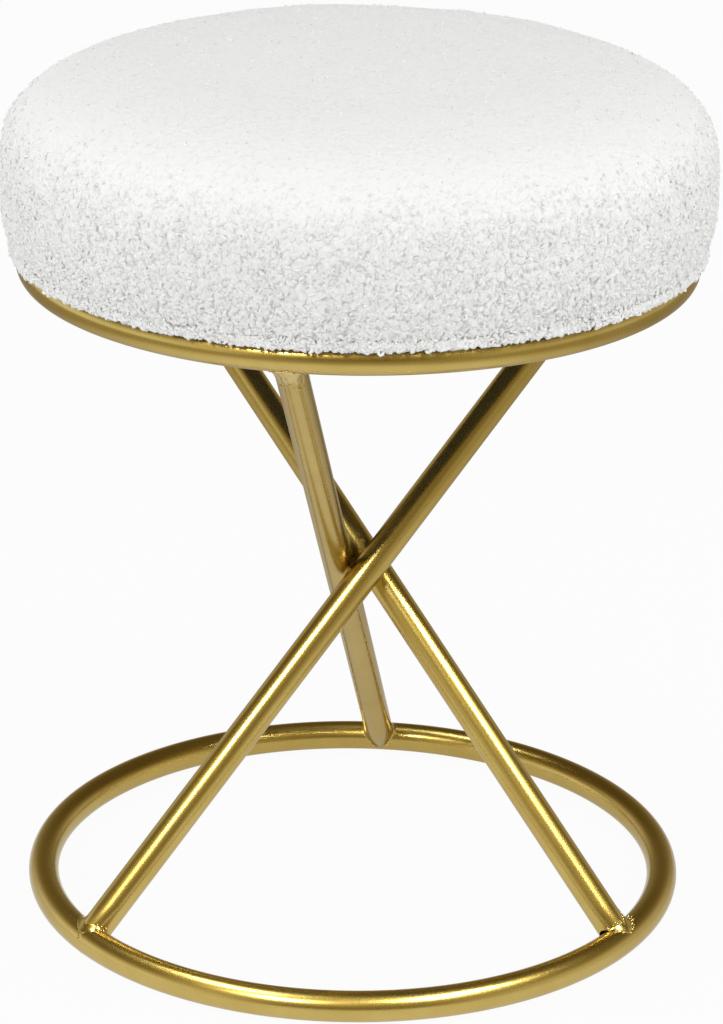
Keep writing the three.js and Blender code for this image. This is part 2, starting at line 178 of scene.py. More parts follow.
class Maker:
    """Adds nodes to a tree. An input is a value, a node or one of its outputs."""

    def __init__(self, tree):
        self.tree = tree

    def add(self, kind, inputs=None, **settings):
        node = self.tree.nodes.new(kind)
        for name, value in settings.items():
            setattr(node, name, value)
        for key, value in (inputs or {}).items():
            self.feed(value, node.inputs[key])
        return node

    def feed(self, value, socket):
        if isinstance(value, bpy.types.Node):
            value = next(out for out in value.outputs if out.enabled)
        if isinstance(value, bpy.types.NodeSocket):
            self.tree.links.new(value, socket)
        else:
            socket.default_value = value

    def math(self, operation, a, b, clamp=False):
        return self.add("ShaderNodeMath", {0: a, 1: b}, operation=operation, use_clamp=clamp).outputs[0]

    def plus(self, a, b, clamp=False):
        return self.math("ADD", a, b, clamp)

    def minus(self, a, b, clamp=False):
        return self.math("SUBTRACT", a, b, clamp)

    def times(self, a, b):
        return self.math("MULTIPLY", a, b)

    def vector(self, operation, a, b):
        return self.add("ShaderNodeVectorMath", {0: a, 1: b}, operation=operation).outputs[0]

    def scaled(self, vector, factor):
        return self.add("ShaderNodeVectorMath", {0: vector, "Scale": factor}, operation="SCALE").outputs[0]

    def split(self, vector):
        return self.add("ShaderNodeSeparateXYZ", {0: vector}).outputs

    def spread(self, value, low, high, to_low=0.0, to_high=1.0, smooth=False):
        kind = "SMOOTHSTEP" if smooth else "LINEAR"
        inputs = {0: value, 1: low, 2: high, 3: to_low, 4: to_high}
        return self.add("ShaderNodeMapRange", inputs, interpolation_type=kind).outputs[0]

    def graded(self, noise, to_low, to_high):
        """The middle of a noise's range, spread from one value to another."""
        return self.spread(noise, 0.3, 0.7, to_low, to_high)

    def noise(self, place, scale, detail, rough=0.5, warp=0.0):
        inputs = {"Vector": place, "Scale": scale, "Detail": detail, "Roughness": rough, "Distortion": warp}
        return self.add("ShaderNodeTexNoise", inputs)

    def sway(self, place, scale, detail, rough=0.5):
        """A direction that changes from place to place."""
        noise = self.noise(place, scale, detail, rough)
        return self.vector("SUBTRACT", noise.outputs["Color"], (0.5, 0.5, 0.5))

    def bent(self, place, scale, shift):
        return self.vector("ADD", place, self.scaled(self.sway(place, scale, 2, 0.6), shift))

    def cells(self, place, scale, feature="F1"):
        node = self.add("ShaderNodeTexVoronoi", {"Vector": place, "Scale": scale}, feature=feature)
        return node.outputs["Distance"]

    def stretched(self, place, scale):
        return self.add("ShaderNodeMapping", {"Vector": place, "Scale": scale})

    def mix(self, factor, a, b):
        """One of two colours of three or four numbers, or a blend of them."""
        a, b = ((*c, 1.0) if isinstance(c, tuple) and len(c) == 3 else c for c in (a, b))
        return self.add("ShaderNodeMix", {0: factor, 6: a, 7: b}, data_type="RGBA").outputs[2]

    def bump(self, height, distance, strength, before=None):
        inputs = {"Height": height, "Distance": distance, "Strength": strength}
        if before is not None:
            inputs["Normal"] = before
        return self.add("ShaderNodeBump", inputs).outputs[0]

    def stored(self, name):
        return self.add("ShaderNodeAttribute", attribute_name=name).outputs["Fac"]

    def keep(self, geometry, name, value):
        """Stores a value on a geometry's points, for the finish."""
        inputs = {"Geometry": geometry, "Name": name, "Value": value}
        return self.add("GeometryNodeStoreNamedAttribute", inputs, data_type="FLOAT", domain="POINT")

    def chance(self, kind, low, high, seed):
        """A random value for each point."""
        place = ("FLOAT_VECTOR", "FLOAT", "INT").index(kind)
        inputs = {2 * place: low, 2 * place + 1: high, "Seed": seed}
        return self.add("FunctionNodeRandomValue", inputs, data_type=kind).outputs[place]


def geometry_tree(name, **inputs):
    """A geometry tree with named inputs: its maker, its incoming geometry and its other inputs by name."""
    tree = bpy.data.node_groups.new(name, "GeometryNodeTree")
    for label, kind in {"Geometry": "Geometry", **inputs}.items():
        tree.interface.new_socket(name=label, in_out="INPUT", socket_type=f"NodeSocket{kind}")
    tree.interface.new_socket(name="Geometry", in_out="OUTPUT", socket_type="NodeSocketGeometry")
    maker = Maker(tree)
    given = maker.add("NodeGroupInput").outputs
    return maker, given["Geometry"], given


def end_tree(maker, geometry, finish):
    """Ends a geometry tree with plain geometry in one finish."""
    plain = maker.add("GeometryNodeRealizeInstances", {"Geometry": geometry})
    smooth = maker.add("GeometryNodeSetShadeSmooth", {"Geometry": plain})
    dressed = maker.add("GeometryNodeSetMaterial", {"Geometry": smooth, "Material": finish})
    maker.feed(dressed, maker.add("NodeGroupOutput").inputs[0])
    return maker.tree


def run_tree(piece, tree, **values):
    """Runs a geometry tree on a piece and keeps the result as its plain mesh."""
    modifier = piece.modifiers.new(tree.name, "NODES")
    modifier.node_group = tree
    for item in tree.interface.items_tree:
        if item.in_out == "INPUT" and item.name in values:
            modifier[item.identifier] = values[item.name]
    return baked(piece)


# Mesh helpers


def modified(piece, kind, **settings):
    """Adds a modifier to a piece."""
    modifier = piece.modifiers.new(kind.lower(), kind)
    for name, value in settings.items():
        setattr(modifier, name, value)
    return piece


def baked(piece):
    """Turns a piece's modifiers into its plain mesh."""
    graph = bpy.context.evaluated_depsgraph_get()
    mesh = bpy.data.meshes.new_from_object(
        piece.evaluated_get(graph), preserve_all_data_layers=True, depsgraph=graph)
    piece.modifiers.clear()
    piece.data = mesh
    mesh.name = piece.name
    return piece


def on_circle(radius, azimuth, z):
    return Vector((radius * math.cos(azimuth), radius * math.sin(azimuth), z))


def within_half_turn(angle):
    return (angle + math.pi) % FULL_TURN - math.pi


def unit(ways):
    """A direction, or rows of them, at length one."""
    if ways.ndim == 1:
        return ways / np.linalg.norm(ways)
    return ways / np.linalg.norm(ways, axis=-1, keepdims=True)


def waves(places, size, seed):
    """Smooth irregular values over places, about a size wide and mostly from -1 to 1."""
    rng = np.random.default_rng(seed)
    total = np.zeros(len(places))
    for _ in range(9):
        way = unit(rng.normal(0, 1, 3))
        total += np.sin(places @ way * FULL_TURN / (size * rng.uniform(0.7, 1.5)) + rng.uniform(0, FULL_TURN))
    return total / 4.5


def linked(name, data):
    """A new object in the scene."""
    made = bpy.data.objects.new(name, data)
    bpy.context.scene.collection.objects.link(made)
    return made


def piece_from(name, places, faces, finish=None, smooth=True):
    mesh = bpy.data.meshes.new(name)
    mesh.from_pydata([tuple(p) for p in places], [], faces)
    mesh.validate()
    mesh.shade_smooth() if smooth else mesh.shade_flat()
    if finish is not None:
        mesh.materials.append(finish)
    return linked(name, mesh)


def band(low, high):
    """Faces between two closed rows of points, triangles where a row is one point repeated."""
    faces = []
    for j in range(len(low)):
        k = (j + 1) % len(low)
        corners = [low[j], low[k], high[k], high[j]]
        corners = [c for i, c in enumerate(corners) if c != corners[i - 1]]
        if len(corners) > 2:
            faces.append(tuple(corners))
    return faces


def bands(rows):
    return [face for low, high in zip(rows, rows[1:]) for face in band(low, high)]


def grid_faces(rows, columns, closed=False):
    """Faces between the rows of a grid of points. Each row is closed, and a closed grid joins its ends."""
    lines = [range(i * columns, (i + 1) * columns) for i in range(rows)]
    lines += lines[:1] * closed
    return bands(lines)


def sweep(path, radii, sides, phase=0.0):
    """Closed round bar along a path: its points and faces."""
    path = np.asarray(path, float)
    radii = np.broadcast_to(radii, len(path))
    ways = unit(np.gradient(path, axis=0))
    side = np.cross(ways[0], (0.31, 0.27, 0.91))
    places = []
    for place, way, radius in zip(path, ways, radii):
        side = unit(side - way * (side @ way))
        up = np.cross(way, side)
        for k in range(sides):
            turn = phase + k * FULL_TURN / sides
            places.append(place + radius * (side * math.cos(turn) + up * math.sin(turn)))
    last = (len(path) - 1) * sides
    caps = [tuple(reversed(range(sides))), tuple(range(last, last + sides))]
    return places, grid_faces(len(path), sides) + caps


def turned(outline, steps, x=0.0, hexagons=0):
    """Outline of (radius, height) points turned about an upright axis at x, closed where it meets the axis.

    The first rows, as many as hexagons says, are six-sided with their corners at the radius.
    """
    places, rows = [], []
    for number, (radius, z) in enumerate(outline):
        if radius < 1e-7:
            rows.append([len(places)] * steps)
            places.append((x, 0, z))
            continue
        rows.append([len(places) + j for j in range(steps)])
        for j in range(steps):
            turn, reach = j * FULL_TURN / steps, radius
            if number < hexagons:
                off_middle = (turn + math.pi / 6) % (math.pi / 3) - math.pi / 6
                reach = radius * math.cos(math.pi / 6) / math.cos(off_middle)
            places.append((x + reach * math.cos(turn), reach * math.sin(turn), z))
    return places, bands(rows)


def outward(piece, unwanted=None):
    """Merges doubled points, deletes unwanted ones and turns every face outwards."""
    mesh = bmesh.new()
    mesh.from_mesh(piece.data)
    bmesh.ops.remove_doubles(mesh, verts=mesh.verts, dist=1e-6)
    bmesh.ops.recalc_face_normals(mesh, faces=mesh.faces)
    if unwanted:
        bmesh.ops.delete(mesh, geom=[v for v in mesh.verts if unwanted(v.co)], context="VERTS")
    mesh.to_mesh(piece.data)
    mesh.free()
    return piece


def bevelled(piece, width, angle):
    modified(piece, "BEVEL", width=width, segments=2, limit_method="ANGLE", angle_limit=math.radians(angle))
    return baked(piece)


def read_points(piece, what="co"):
    values = np.empty(len(piece.data.vertices) * 3, np.float32)
    piece.data.vertices.foreach_get(what, values)
    return values.reshape(-1, 3).astype(float)


def move_points(piece, places):
    piece.data.vertices.foreach_set("co", np.asarray(places, np.float32).ravel())
    piece.data.update()


def move_out(piece, places, height):
    """Moves a piece's points out from their places, along the skin's normals."""
    move_points(piece, places + read_points(piece, "normal") * height[:, None])


def place_on_stool(piece, slot, *nodes):
    """Hands a finished piece to the frame."""
    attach(piece, BODY)
    if nodes:
        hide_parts(*nodes)
    return piece


def dress(node, finish):
    """Gives a CAD node that stays a better finish."""
    for slot in frame["nodes"][node].material_slots:
        slot.material = finish


# Finishes. Each gives the values for the shader's inputs.


def lacquer(maker, place, light, dark, roughness, peel):
    """Metallic lacquer under a clear coat: flakes, a slight orange peel and cloudy thickness."""
    cloud = maker.noise(place, 38, 3, 0.55)
    flake = maker.noise(place, 2600, 2, 0.7)
    skin = maker.noise(place, 620, 2, 0.6)
    shade = maker.plus(maker.graded(cloud, 0.0, 0.75), maker.spread(flake, 0.35, 0.65, -0.15, 0.15))
    cloudy = maker.graded(cloud, roughness - 0.02, roughness + 0.03)
    return {
        "Base Color": maker.mix(maker.math("MAXIMUM", shade, 0.0, clamp=True), tuple(light), tuple(dark)),
        "Roughness": maker.plus(maker.graded(flake, -0.03, 0.04), cloudy),
        "Normal": maker.bump(skin, peel, 0.4, maker.bump(flake, 0.00003, 0.15)),
        "Metallic": 1.0,
        "Specular Tint": (0.58, 0.53, 0.42, 1),
        "Coat Weight": 0.9,
        "Coat Roughness": 0.15,
    }


def paint_tube(maker, place, colours):
    return lacquer(maker, place, colours.gold, colours.deep_gold, 0.27, 0.00001)


def paint_weld(maker, place, colours):
    return lacquer(maker, place, colours.weld_gold, colours.gold, 0.2, 0.00004)


def paint_bore_shade(maker, place, colours):
    """Near-black painted shade inside a tube's end, on bare steel with a faint mottle."""
    bore_mottle = maker.noise(place, 700, 3, 0.6)
    return {
        "Base Color": maker.mix(maker.graded(bore_mottle, 0.0, 1.0), (0.012, 0.009, 0.006), (0.045, 0.034, 0.020)),
        "Roughness": maker.graded(bore_mottle, 0.6, 0.85),
        "Normal": maker.bump(bore_mottle, 0.0001, 0.5),
    }


def paint_pile(maker, place, colours):
    """Looped yarn: bright nubs, painted shade in the crevices between them and low in the pile, fine curls
    and fibres.
    """
    standing = maker.stored("standing")
    fibre = maker.noise(place, 1700, 3, 0.6, 0.3)
    curls = maker.cells(maker.bent(place, 460, 0.0028), 430.0, "DISTANCE_TO_EDGE")
    dome = maker.spread(curls, 0.0, 0.3, smooth=True)
    crevice_shade = maker.spread(curls, 0.0, 0.1, smooth=True)
    # Painted shade: the colour darkens toward the ground colour low in the pile and along the curl edges,
    # scaled by the stored standing share, which is low on the top.
    deep = maker.spread(maker.stored("pile"), 0.02, 0.42, smooth=True)
    dark = maker.plus(maker.times(maker.minus(1.0, deep), 0.75), maker.times(maker.minus(1.0, crevice_shade), 0.25))
    shade = maker.minus(maker.graded(fibre, 0.93, 1.02), maker.times(dark, standing), clamp=True)
    twist = maker.bump(fibre, 0.0002, 0.3)
    return {
        "Base Color": maker.mix(shade, tuple(colours.ground), tuple(colours.yarn)),
        "Roughness": maker.graded(fibre, 0.84, 0.97),
        "Normal": maker.bump(dome, 0.0006, maker.times(standing, 0.5), twist),
        "Sheen Weight": 0.1,
        "Sheen Roughness": 0.6,
        "Specular IOR Level": 0.25,
    }


def paint_zinc(maker, place, colours):
    """Bright zinc plate with fine turning marks and a spangle."""
    marks = maker.noise(maker.stretched(place, (1, 1, 14)), 420, 3, 0.6)
    spangle = maker.spread(maker.cells(place, 900), 0, 0.8, 0.0, 0.3)
    tone = maker.plus(maker.graded(marks, 0.0, 0.6), spangle)
    return {
        "Base Color": maker.mix(tone, tuple(colours.zinc), tuple(c * 0.72 for c in colours.zinc)),
        "Roughness": maker.graded(marks, 0.24, 0.4),
        "Normal": maker.bump(marks, 0.00003, 0.5),
        "Metallic": 1.0,
    }


def paint_plywood(maker, place, colours):
    """Sanded plywood: long grain on the faces, dark glue lines between the plies."""
    grain = maker.noise(maker.stretched(place, (6, 160, 60)), 1, 4, 0.6, 0.5)
    rings = maker.noise(maker.stretched(place, (3, 22, 12)), 1, 2, 0.5, 1.2)
    ply = maker.math("PINGPONG", maker.times(maker.split(place)[2], 1 / 0.0024), 1.0)
    glue = maker.spread(ply, 0.0, 0.14, 0.65, 0.0, smooth=True)
    tone = maker.plus(maker.spread(grain, 0.35, 0.7, 0.0, 0.7), maker.spread(rings, 0.4, 0.6, 0.0, 0.3))
    dark = tuple(c * f for c, f in zip(colours.ply, (0.62, 0.55, 0.46)))
    return {
        "Base Color": maker.mix(maker.plus(tone, glue, clamp=True), tuple(colours.ply), dark),
        "Roughness": maker.graded(grain, 0.62, 0.82),
        "Normal": maker.bump(grain, 0.0003, 0.5),
    }


PAINTS = {
    "satin_gold_lacquer": paint_tube,
    "bare_bore": paint_bore_shade,
    "gold_over_weld": paint_weld,
    "looped_pile": paint_pile,
    "bright_zinc": paint_zinc,
    "raw_plywood": paint_plywood,
}


def get_finish(name):
    """One of the stool's finishes, made when it is first needed."""
    if name not in bpy.data.materials:
        made = bpy.data.materials.new(name)
        made.use_nodes = True
        maker = Maker(made.node_tree)
        place = maker.add("ShaderNodeTexCoord").outputs["Object"]
        shader = made.node_tree.nodes["Principled BSDF"]
        for socket, value in PAINTS[name](maker, place, stool().colours).items():
            maker.feed(value, shader.inputs[socket])
    return bpy.data.materials[name]


# Frame: rings and legs


def leg_axes():
    """Foot, head and direction of each leg's axis, as arrays."""
    sizes = stool().frame
    axes = []
    for foot_turn, head_turn in zip(sizes.feet, sizes.heads):
        foot = np.array(on_circle(sizes.ring / 2, foot_turn, sizes.tube / 2))
        head = np.array(on_circle(sizes.ring / 2, head_turn, sizes.top_level))
        axes.append((foot, head, unit(head - foot)))
    return axes


def ring_azimuths(steps, seam):
    """Even turns round a ring, with extra ones close to its seam."""
    even = np.arange(steps) * FULL_TURN / steps
    arcs = np.concatenate([[-11, -7.5, -5, -3.4, -2.2], np.arange(-1.4, 4.0, 0.35), [4.6, 5.4, 7, 11]])
    near = seam + arcs * MM / SEAM_RADIUS
    seam_zone = 0.075
    clear = np.abs(within_half_turn(even - seam)) > seam_zone
    return np.sort(np.concatenate([even[clear], near % FULL_TURN]))


def seam_shift(arc, around):
    """How far a dressed butt seam lifts the tube's skin, by arc from the seam and angle round the tube."""
    ridge = 0.10 * np.exp(-(arc / 1.8) ** 2) * (1 + 0.5 * np.sin(around * 5 + 1) + 0.4 * np.sin(around * 11))
    line = -0.10 * np.exp(-((arc + 0.4 * np.sin(around * 3)) / 0.5) ** 2)
    spot = within_half_turn(around)
    pit = -0.9 * np.exp(-(arc / 0.45) ** 2 - ((spot - 0.57) / 0.12) ** 2)
    smear = 0.5 * np.exp(-((arc - 1.2) / 0.9) ** 2 - ((spot - 0.8) / 0.13) ** 2)
    return (ridge + line + pit + smear) * MM


def ring_piece(name, z, seam, seam_share):
    """Bent tube ring with a ground-down butt seam."""
    sizes = stool().frame
    steps, sides = 300, 64
    turns = ring_azimuths(steps, seam)
    around = np.arange(sides) * FULL_TURN / sides
    arcs, arounds = np.meshgrid(within_half_turn(turns - seam) * sizes.ring / 2 / MM, around, indexing="ij")
    radius = sizes.tube / 2 + seam_shift(arcs, arounds) * seam_share
    reach = sizes.ring / 2 + radius * np.cos(arounds)
    places = np.stack([
        reach * np.cos(turns)[:, None],
        reach * np.sin(turns)[:, None],
        np.maximum(z + radius * np.sin(arounds), z - sizes.tube / 2),
    ], axis=-1).reshape(-1, 3)
    faces = [tuple(reversed(f)) for f in grid_faces(len(turns), sides, closed=True)]
    return outward(piece_from(name, places, faces, get_finish("satin_gold_lacquer")))


class STOOL_OT_rings(bpy.types.Operator):
    """Builds the two rings of bent tube"""

    bl_idname = "stool.rings"
    bl_label = "Rings"

    def execute(self, context):
        sizes = stool().frame
        place_on_stool(ring_piece("base_ring_tube", sizes.tube / 2, sizes.seam, 1.0), "frame", "base_ring")
        place_on_stool(ring_piece("top_ring_tube", sizes.top_level, TOP_SEAM, 0.6), "frame", "top_ring")
        return {"FINISHED"}


def leg_sides(way, azimuth):
    """Across and side of a leg's end: along the ring, and square to ring and leg."""
    side = unit(np.cross(way, np.array(on_circle(1, azimuth + math.pi / 2, 0))))
    return np.cross(side, way), side


def cope(end, way, rim, reach, ring_z):
    """How far out from the ring's centreline each line of a leg's skin ends on the ring."""
    ring = stool().frame.ring / 2
    farthest, step = 0.024, 0.00005
    steps = np.arange(0, farthest, step)
    places = end + rim[:, None, :] + steps[None, :, None] * way
    away = np.hypot(np.hypot(places[..., 0], places[..., 1]) - ring, places[..., 2] - ring_z)
    inside = away <= reach[:, None]
    last = len(steps) - 1 - np.argmax(inside[:, ::-1], axis=1)
    return steps[np.where(inside.any(axis=1), last, np.argmin(away, axis=1))]


def leg_piece(index):
    """Straight tube whose ends are cut to the rings, open a little on one side of its foot."""
    sizes = stool().frame
    foot, head, way = leg_axes()[index]
    radius, sides, parts = sizes.tube / 2, 48, 30
    touching, bore_depth, open_side = radius - 0.1 * MM, 14 * MM, math.radians(140)
    around = np.arange(sides) * FULL_TURN / sides
    flank, side = leg_sides(way, sizes.feet[index])
    rim = radius * (np.cos(around)[:, None] * flank + np.sin(around)[:, None] * side)
    gap = sizes.foot_gaps[index] * np.clip(np.cos(around - open_side) * 2.4 - 1.1, 0, 1)
    low = cope(foot, way, rim, touching + gap, sizes.tube / 2)
    inner = -(rim @ leg_sides(-way, sizes.heads[index])[1]) / radius
    high = cope(head, -way, rim, touching + 0.5 * MM * np.clip(inner, 0, 1), sizes.top_level)
    shares = np.linspace(0, 1, parts + 1)[:, None]
    travel = low * (1 - shares) + (np.linalg.norm(head - foot) - high) * shares
    skin = (foot + rim[None, :, :] + travel[..., None] * way).reshape(-1, 3)
    bore_ends = foot + way * (low.mean() + bore_depth), head - way * (high.mean() + bore_depth)
    places = np.vstack([skin, *bore_ends])
    faces = grid_faces(parts + 1, sides) + band([len(skin)] * sides, range(sides))
    faces += band(range(parts * sides, len(skin)), [len(skin) + 1] * sides)
    piece = piece_from(f"leg_{LEGS[index]}_tube", places, faces, get_finish("satin_gold_lacquer"))
    # The caps that close the bore are given its near-black painted shade.
    piece.data.materials.append(get_finish("bare_bore"))
    for face in piece.data.polygons[parts * sides:]:
        face.material_index = 1
    return bevelled(outward(piece), 0.25 * MM, 40)


class STOOL_OT_legs(bpy.types.Operator):
    """Builds the three straight legs, cut to the rings"""

    bl_idname = "stool.legs"
    bl_label = "Legs"

    def execute(self, context):
        for index, name in enumerate(LEGS):
            place_on_stool(leg_piece(index), "frame", f"leg_{name}")
        return {"FINISHED"}


# Welds


def melted(name, drops, voxel, metal):
    """Drops of (place, radius, stretch) run together into one lump of metal."""
    lump = bmesh.new()
    for place, radius, stretch in drops:
        shape = Matrix.Translation(Vector(place)) @ Matrix.Diagonal(Vector((*stretch, 1)))
        bmesh.ops.create_icosphere(lump, subdivisions=2, radius=radius, matrix=shape)
    mesh = bpy.data.meshes.new(name)
    lump.to_mesh(mesh)
    lump.free()
    piece = modified(linked(name, mesh), "REMESH", mode="VOXEL", voxel_size=voxel)
    baked(modified(piece, "SMOOTH", factor=0.5, iterations=4))
    piece.data.materials.clear()
    piece.data.materials.append(metal)
    piece.data.shade_smooth()
    return piece


def leg_end(index, at_head):
    """Where a leg's axis meets its ring, the way up the leg from there, and the end's two sides."""
    sizes = stool().frame
    foot, head, way = leg_axes()[index]
    end, way, azimuth = (head, -way, sizes.heads[index]) if at_head else (foot, way, sizes.feet[index])
    return end, way, *leg_sides(way, azimuth)


def onto_ring(places, end, lift):
    """Nearest places on the ring's skin, lifted off it."""
    sizes = stool().frame
    middle = unit(places * (1, 1, 0)) * sizes.ring / 2 + (0, 0, end[2])
    return middle + unit(places - middle) * (sizes.tube / 2 + lift)


def end_fillet(name, index, at_head, shape, metal):
    """Weld metal that fills the corner between a leg's end and its ring."""
    centre, arc, up_leg, over_ring, rough, seed = shape
    end, way, flank, side = leg_end(index, at_head)
    steps, bend, root = 90, 9, 0.35 * MM
    radius = stool().frame.tube / 2
    shares = np.linspace(0, 1, steps)
    angle = math.radians(centre) + math.radians(arc) * (shares - 0.5)
    rim = np.cos(angle)[:, None] * flank + np.sin(angle)[:, None] * side
    corner = onto_ring(end + np.abs(radius * np.cos(angle))[:, None] * way + radius * rim, end, 0)
    fade = np.clip(np.sin(shares * math.pi) * 1.15, 0.04, 1)
    rise = (waves(corner, 7 * MM, seed) * 0.28 + waves(corner, 2.6 * MM, seed + 9) * 0.14) * rough
    spread = (waves(corner, 6 * MM, seed + 20) * 0.26 + waves(corner, 2.2 * MM, seed + 29) * 0.16) * rough
    on_leg = corner + way * (up_leg * MM * fade * (1 + rise))[:, None]
    reach = rim - way * np.sum(rim * way, axis=1)[:, None]
    on_ring = onto_ring(corner + reach * (over_ring * MM * fade * (1 + spread))[:, None], end, 0.05 * MM)
    rows = []
    for share in np.linspace(0, 1, bend):
        row = (1 - share) ** 2 * on_leg + 2 * share * (1 - share) * corner + share ** 2 * on_ring
        swell = math.sin(share * math.pi) * min(rough, 0.35) * MM * fade
        knobs = waves(row, 3.4 * MM, seed + 40) * 0.26 + waves(row, 1.7 * MM, seed + 41) * 0.09
        out = rim + (row - onto_ring(row, end, -radius)) / radius
        rows.append(row + unit(out) * (swell + knobs * rough * MM * fade)[:, None])
    rows[0] = on_leg - rim * root
    rows[-1] = onto_ring(on_ring, end, -root)
    rows.append(corner - rim * 0.5 * MM - (corner - onto_ring(corner, end, -radius)) / radius * 0.5 * MM)
    places = np.stack(rows, axis=1).reshape(-1, 3)
    faces = grid_faces(steps, bend + 1)
    faces.append(tuple(range(bend + 1)))
    faces.append(tuple(range((steps - 1) * (bend + 1), steps * (bend + 1)))[::-1])
    return outward(piece_from(name, places, faces, metal))


# Leg, end, and the fillet's middle angle, sweep, reach up the leg, reach over the ring, roughness and seed.
END_BEADS = {
    "weld_foot_left": (0, False, (-125, 225, 6.2, 5.4, 0.08, 3)),
    "weld_foot_right": (1, False, (-52, 216, 6.4, 4.6, 0.3, 4)),
    "weld_foot_back": (2, False, (-90, 285, 3.4, 3.0, 0.5, 5)),
    "weld_head_left": (0, True, (90, 215, 3.4, 3.0, 0.6, 6)),
    "weld_head_right": (1, True, (90, 215, 3.4, 3.0, 0.6, 7)),
    "weld_head_back": (2, True, (90, 250, 15.5, 3.2, 0.6, 8)),
}

# Node, number of drops, and the angles round the leg between which they lie.
SPATTER = (
    ("weld_foot_left", 8, (-70, -10)),
    ("weld_foot_right", 56, (-165, -15)),
    ("weld_foot_back", 14, (20, 165)),
    ("weld_head_back", 16, (20, 160)),
    ("weld_head_left", 8, (0, 180)),
    ("weld_head_right", 8, (0, 180)),
)


def spatter_tree(metal):
    """Small drops of weld metal at the points of a mesh, on a fixed seed."""
    maker, geometry, given = geometry_tree("spatter", Drop="Float", Seed="Int")
    return end_tree(maker, maker.add("GeometryNodeInstanceOnPoints", {
        "Points": maker.add("GeometryNodeMeshToPoints", {"Mesh": geometry}),
        "Instance": maker.add("GeometryNodeMeshIcoSphere", {"Radius": given["Drop"], "Subdivisions": 2}),
        "Scale": maker.chance("FLOAT", 0.4, 1.3, given["Seed"]),
    }), metal)


def spatter_points(node, count, spread, seed):
    """Places along the edge of a leg's weld, on the ring's and the leg's skin."""
    index, at_head, (centre, arc, up_leg, over_ring, _, _) = END_BEADS[node]
    end, way, flank, side = leg_end(index, at_head)
    rng = np.random.default_rng(seed)
    radius = stool().frame.tube / 2
    places = []
    for _ in range(count):
        degrees = rng.uniform(*spread)
        angle = math.radians(degrees)
        rim = math.cos(angle) * flank + math.sin(angle) * side
        corner = end + abs(radius * math.cos(angle)) * way + radius * rim
        share = min(1, max(0, (degrees - centre) / arc + 0.5))
        fade = min(1, max(0.15, math.sin(share * math.pi) * 1.15))
        if rng.random() < 0.3:
            places.append(corner + way * (up_leg * fade + rng.normal(0.2, 0.6)) * MM)
        else:
            out = corner + rim * (over_ring * fade * rng.uniform(0.45, 1.08) + abs(rng.normal(0, 0.6))) * MM
            places.append(onto_ring(out[None], end, 0.1 * MM)[0])
    return places


class STOOL_OT_leg_welds(bpy.types.Operator):
    """Builds the weld beads at the legs' ends, with their spatter"""

    bl_idname = "stool.leg_welds"
    bl_label = "Leg welds"

    def execute(self, context):
        metal = get_finish("gold_over_weld")
        for node, (index, at_head, shape) in END_BEADS.items():
            skin = metal if node == "weld_head_back" else get_finish("satin_gold_lacquer")
            bead = end_fillet(node.replace("weld", "fillet"), index, at_head, shape, skin)
            place_on_stool(bead, "weld", node)
        spots = []
        for number, (node, count, spread) in enumerate(SPATTER):
            spots.extend(spatter_points(node, count, spread, 21 + number))
        drops = piece_from("weld_spatter", spots, [])
        place_on_stool(run_tree(drops, spatter_tree(metal), Drop=0.55 * MM, Seed=5), "weld")
        return {"FINISHED"}


def closest(a, b):
    """Points where the axes of two legs pass closest."""
    (foot_a, _, way_a), (foot_b, _, way_b) = a, b
    across = np.cross(way_a, way_b)
    between = foot_b - foot_a
    on_a = foot_a + way_a * (np.cross(between, way_b) @ across) / (across @ across)
    on_b = foot_b + way_b * (np.cross(between, way_a) @ across) / (across @ across)
    return on_a, on_b


def waist_bead(name, first, second, seed):
    """Weld metal in the groove round the point where two legs touch."""
    axes = leg_axes()
    on_a, on_b = closest(axes[first], axes[second])
    middle = (on_a + on_b) / 2
    u = unit(axes[first][2] + axes[second][2])
    v = np.cross(unit(on_b - on_a), u)
    rng = np.random.default_rng(seed)
    drops, count = [], 26
    for k in range(count):
        turn = k * FULL_TURN / count
        out = rng.uniform(2.2, 3.4) * MM
        place = middle + out * (u * math.cos(turn) + v * math.sin(turn)) + rng.normal(0, 0.25 * MM, 3)
        drops.append((place, rng.uniform(0.9, 1.4) * MM, rng.uniform(0.85, 1.15, 3)))
    return melted(name, drops, 0.4 * MM, get_finish("satin_gold_lacquer"))


class STOOL_OT_waist_welds(bpy.types.Operator):
    """Builds the weld metal at the waist, where the legs touch"""

    bl_idname = "stool.waist_welds"
    bl_label = "Waist welds"

    def execute(self, context):
        for first, second in ((0, 1), (1, 2), (2, 0)):
            pair = f"{LEGS[first]}_{LEGS[second]}"
            bead = waist_bead(f"bead_waist_{pair}", first, second, 31 + first)
            place_on_stool(bead, "weld", f"weld_waist_{pair}")
        return {"FINISHED"}


# Seat tabs and fasteners


def round_tree(skin):
    """Repeats a part evenly round the stool's axis."""
    maker, geometry, given = geometry_tree("round_the_axis", Count="Int")
    step = maker.math("DIVIDE", FULL_TURN, given["Count"])
    turn = maker.times(maker.add("GeometryNodeInputIndex"), step)
    return end_tree(maker, maker.add("GeometryNodeInstanceOnPoints", {
        "Points": maker.add("GeometryNodePoints", {"Count": given["Count"]}),
        "Instance": geometry,
        "Rotation": maker.add("ShaderNodeCombineXYZ", {"Z": turn}),
    }), skin)


def repeated(piece, count, skin, slot, *nodes):
    run_tree(piece, round_tree(skin), Count=count)
    return place_on_stool(piece, slot, *nodes)


def numbered(stem):
    """Names of the nodes that each tab has one of."""
    return [f"{stem}_{i + 1}" for i in range(TABS)]


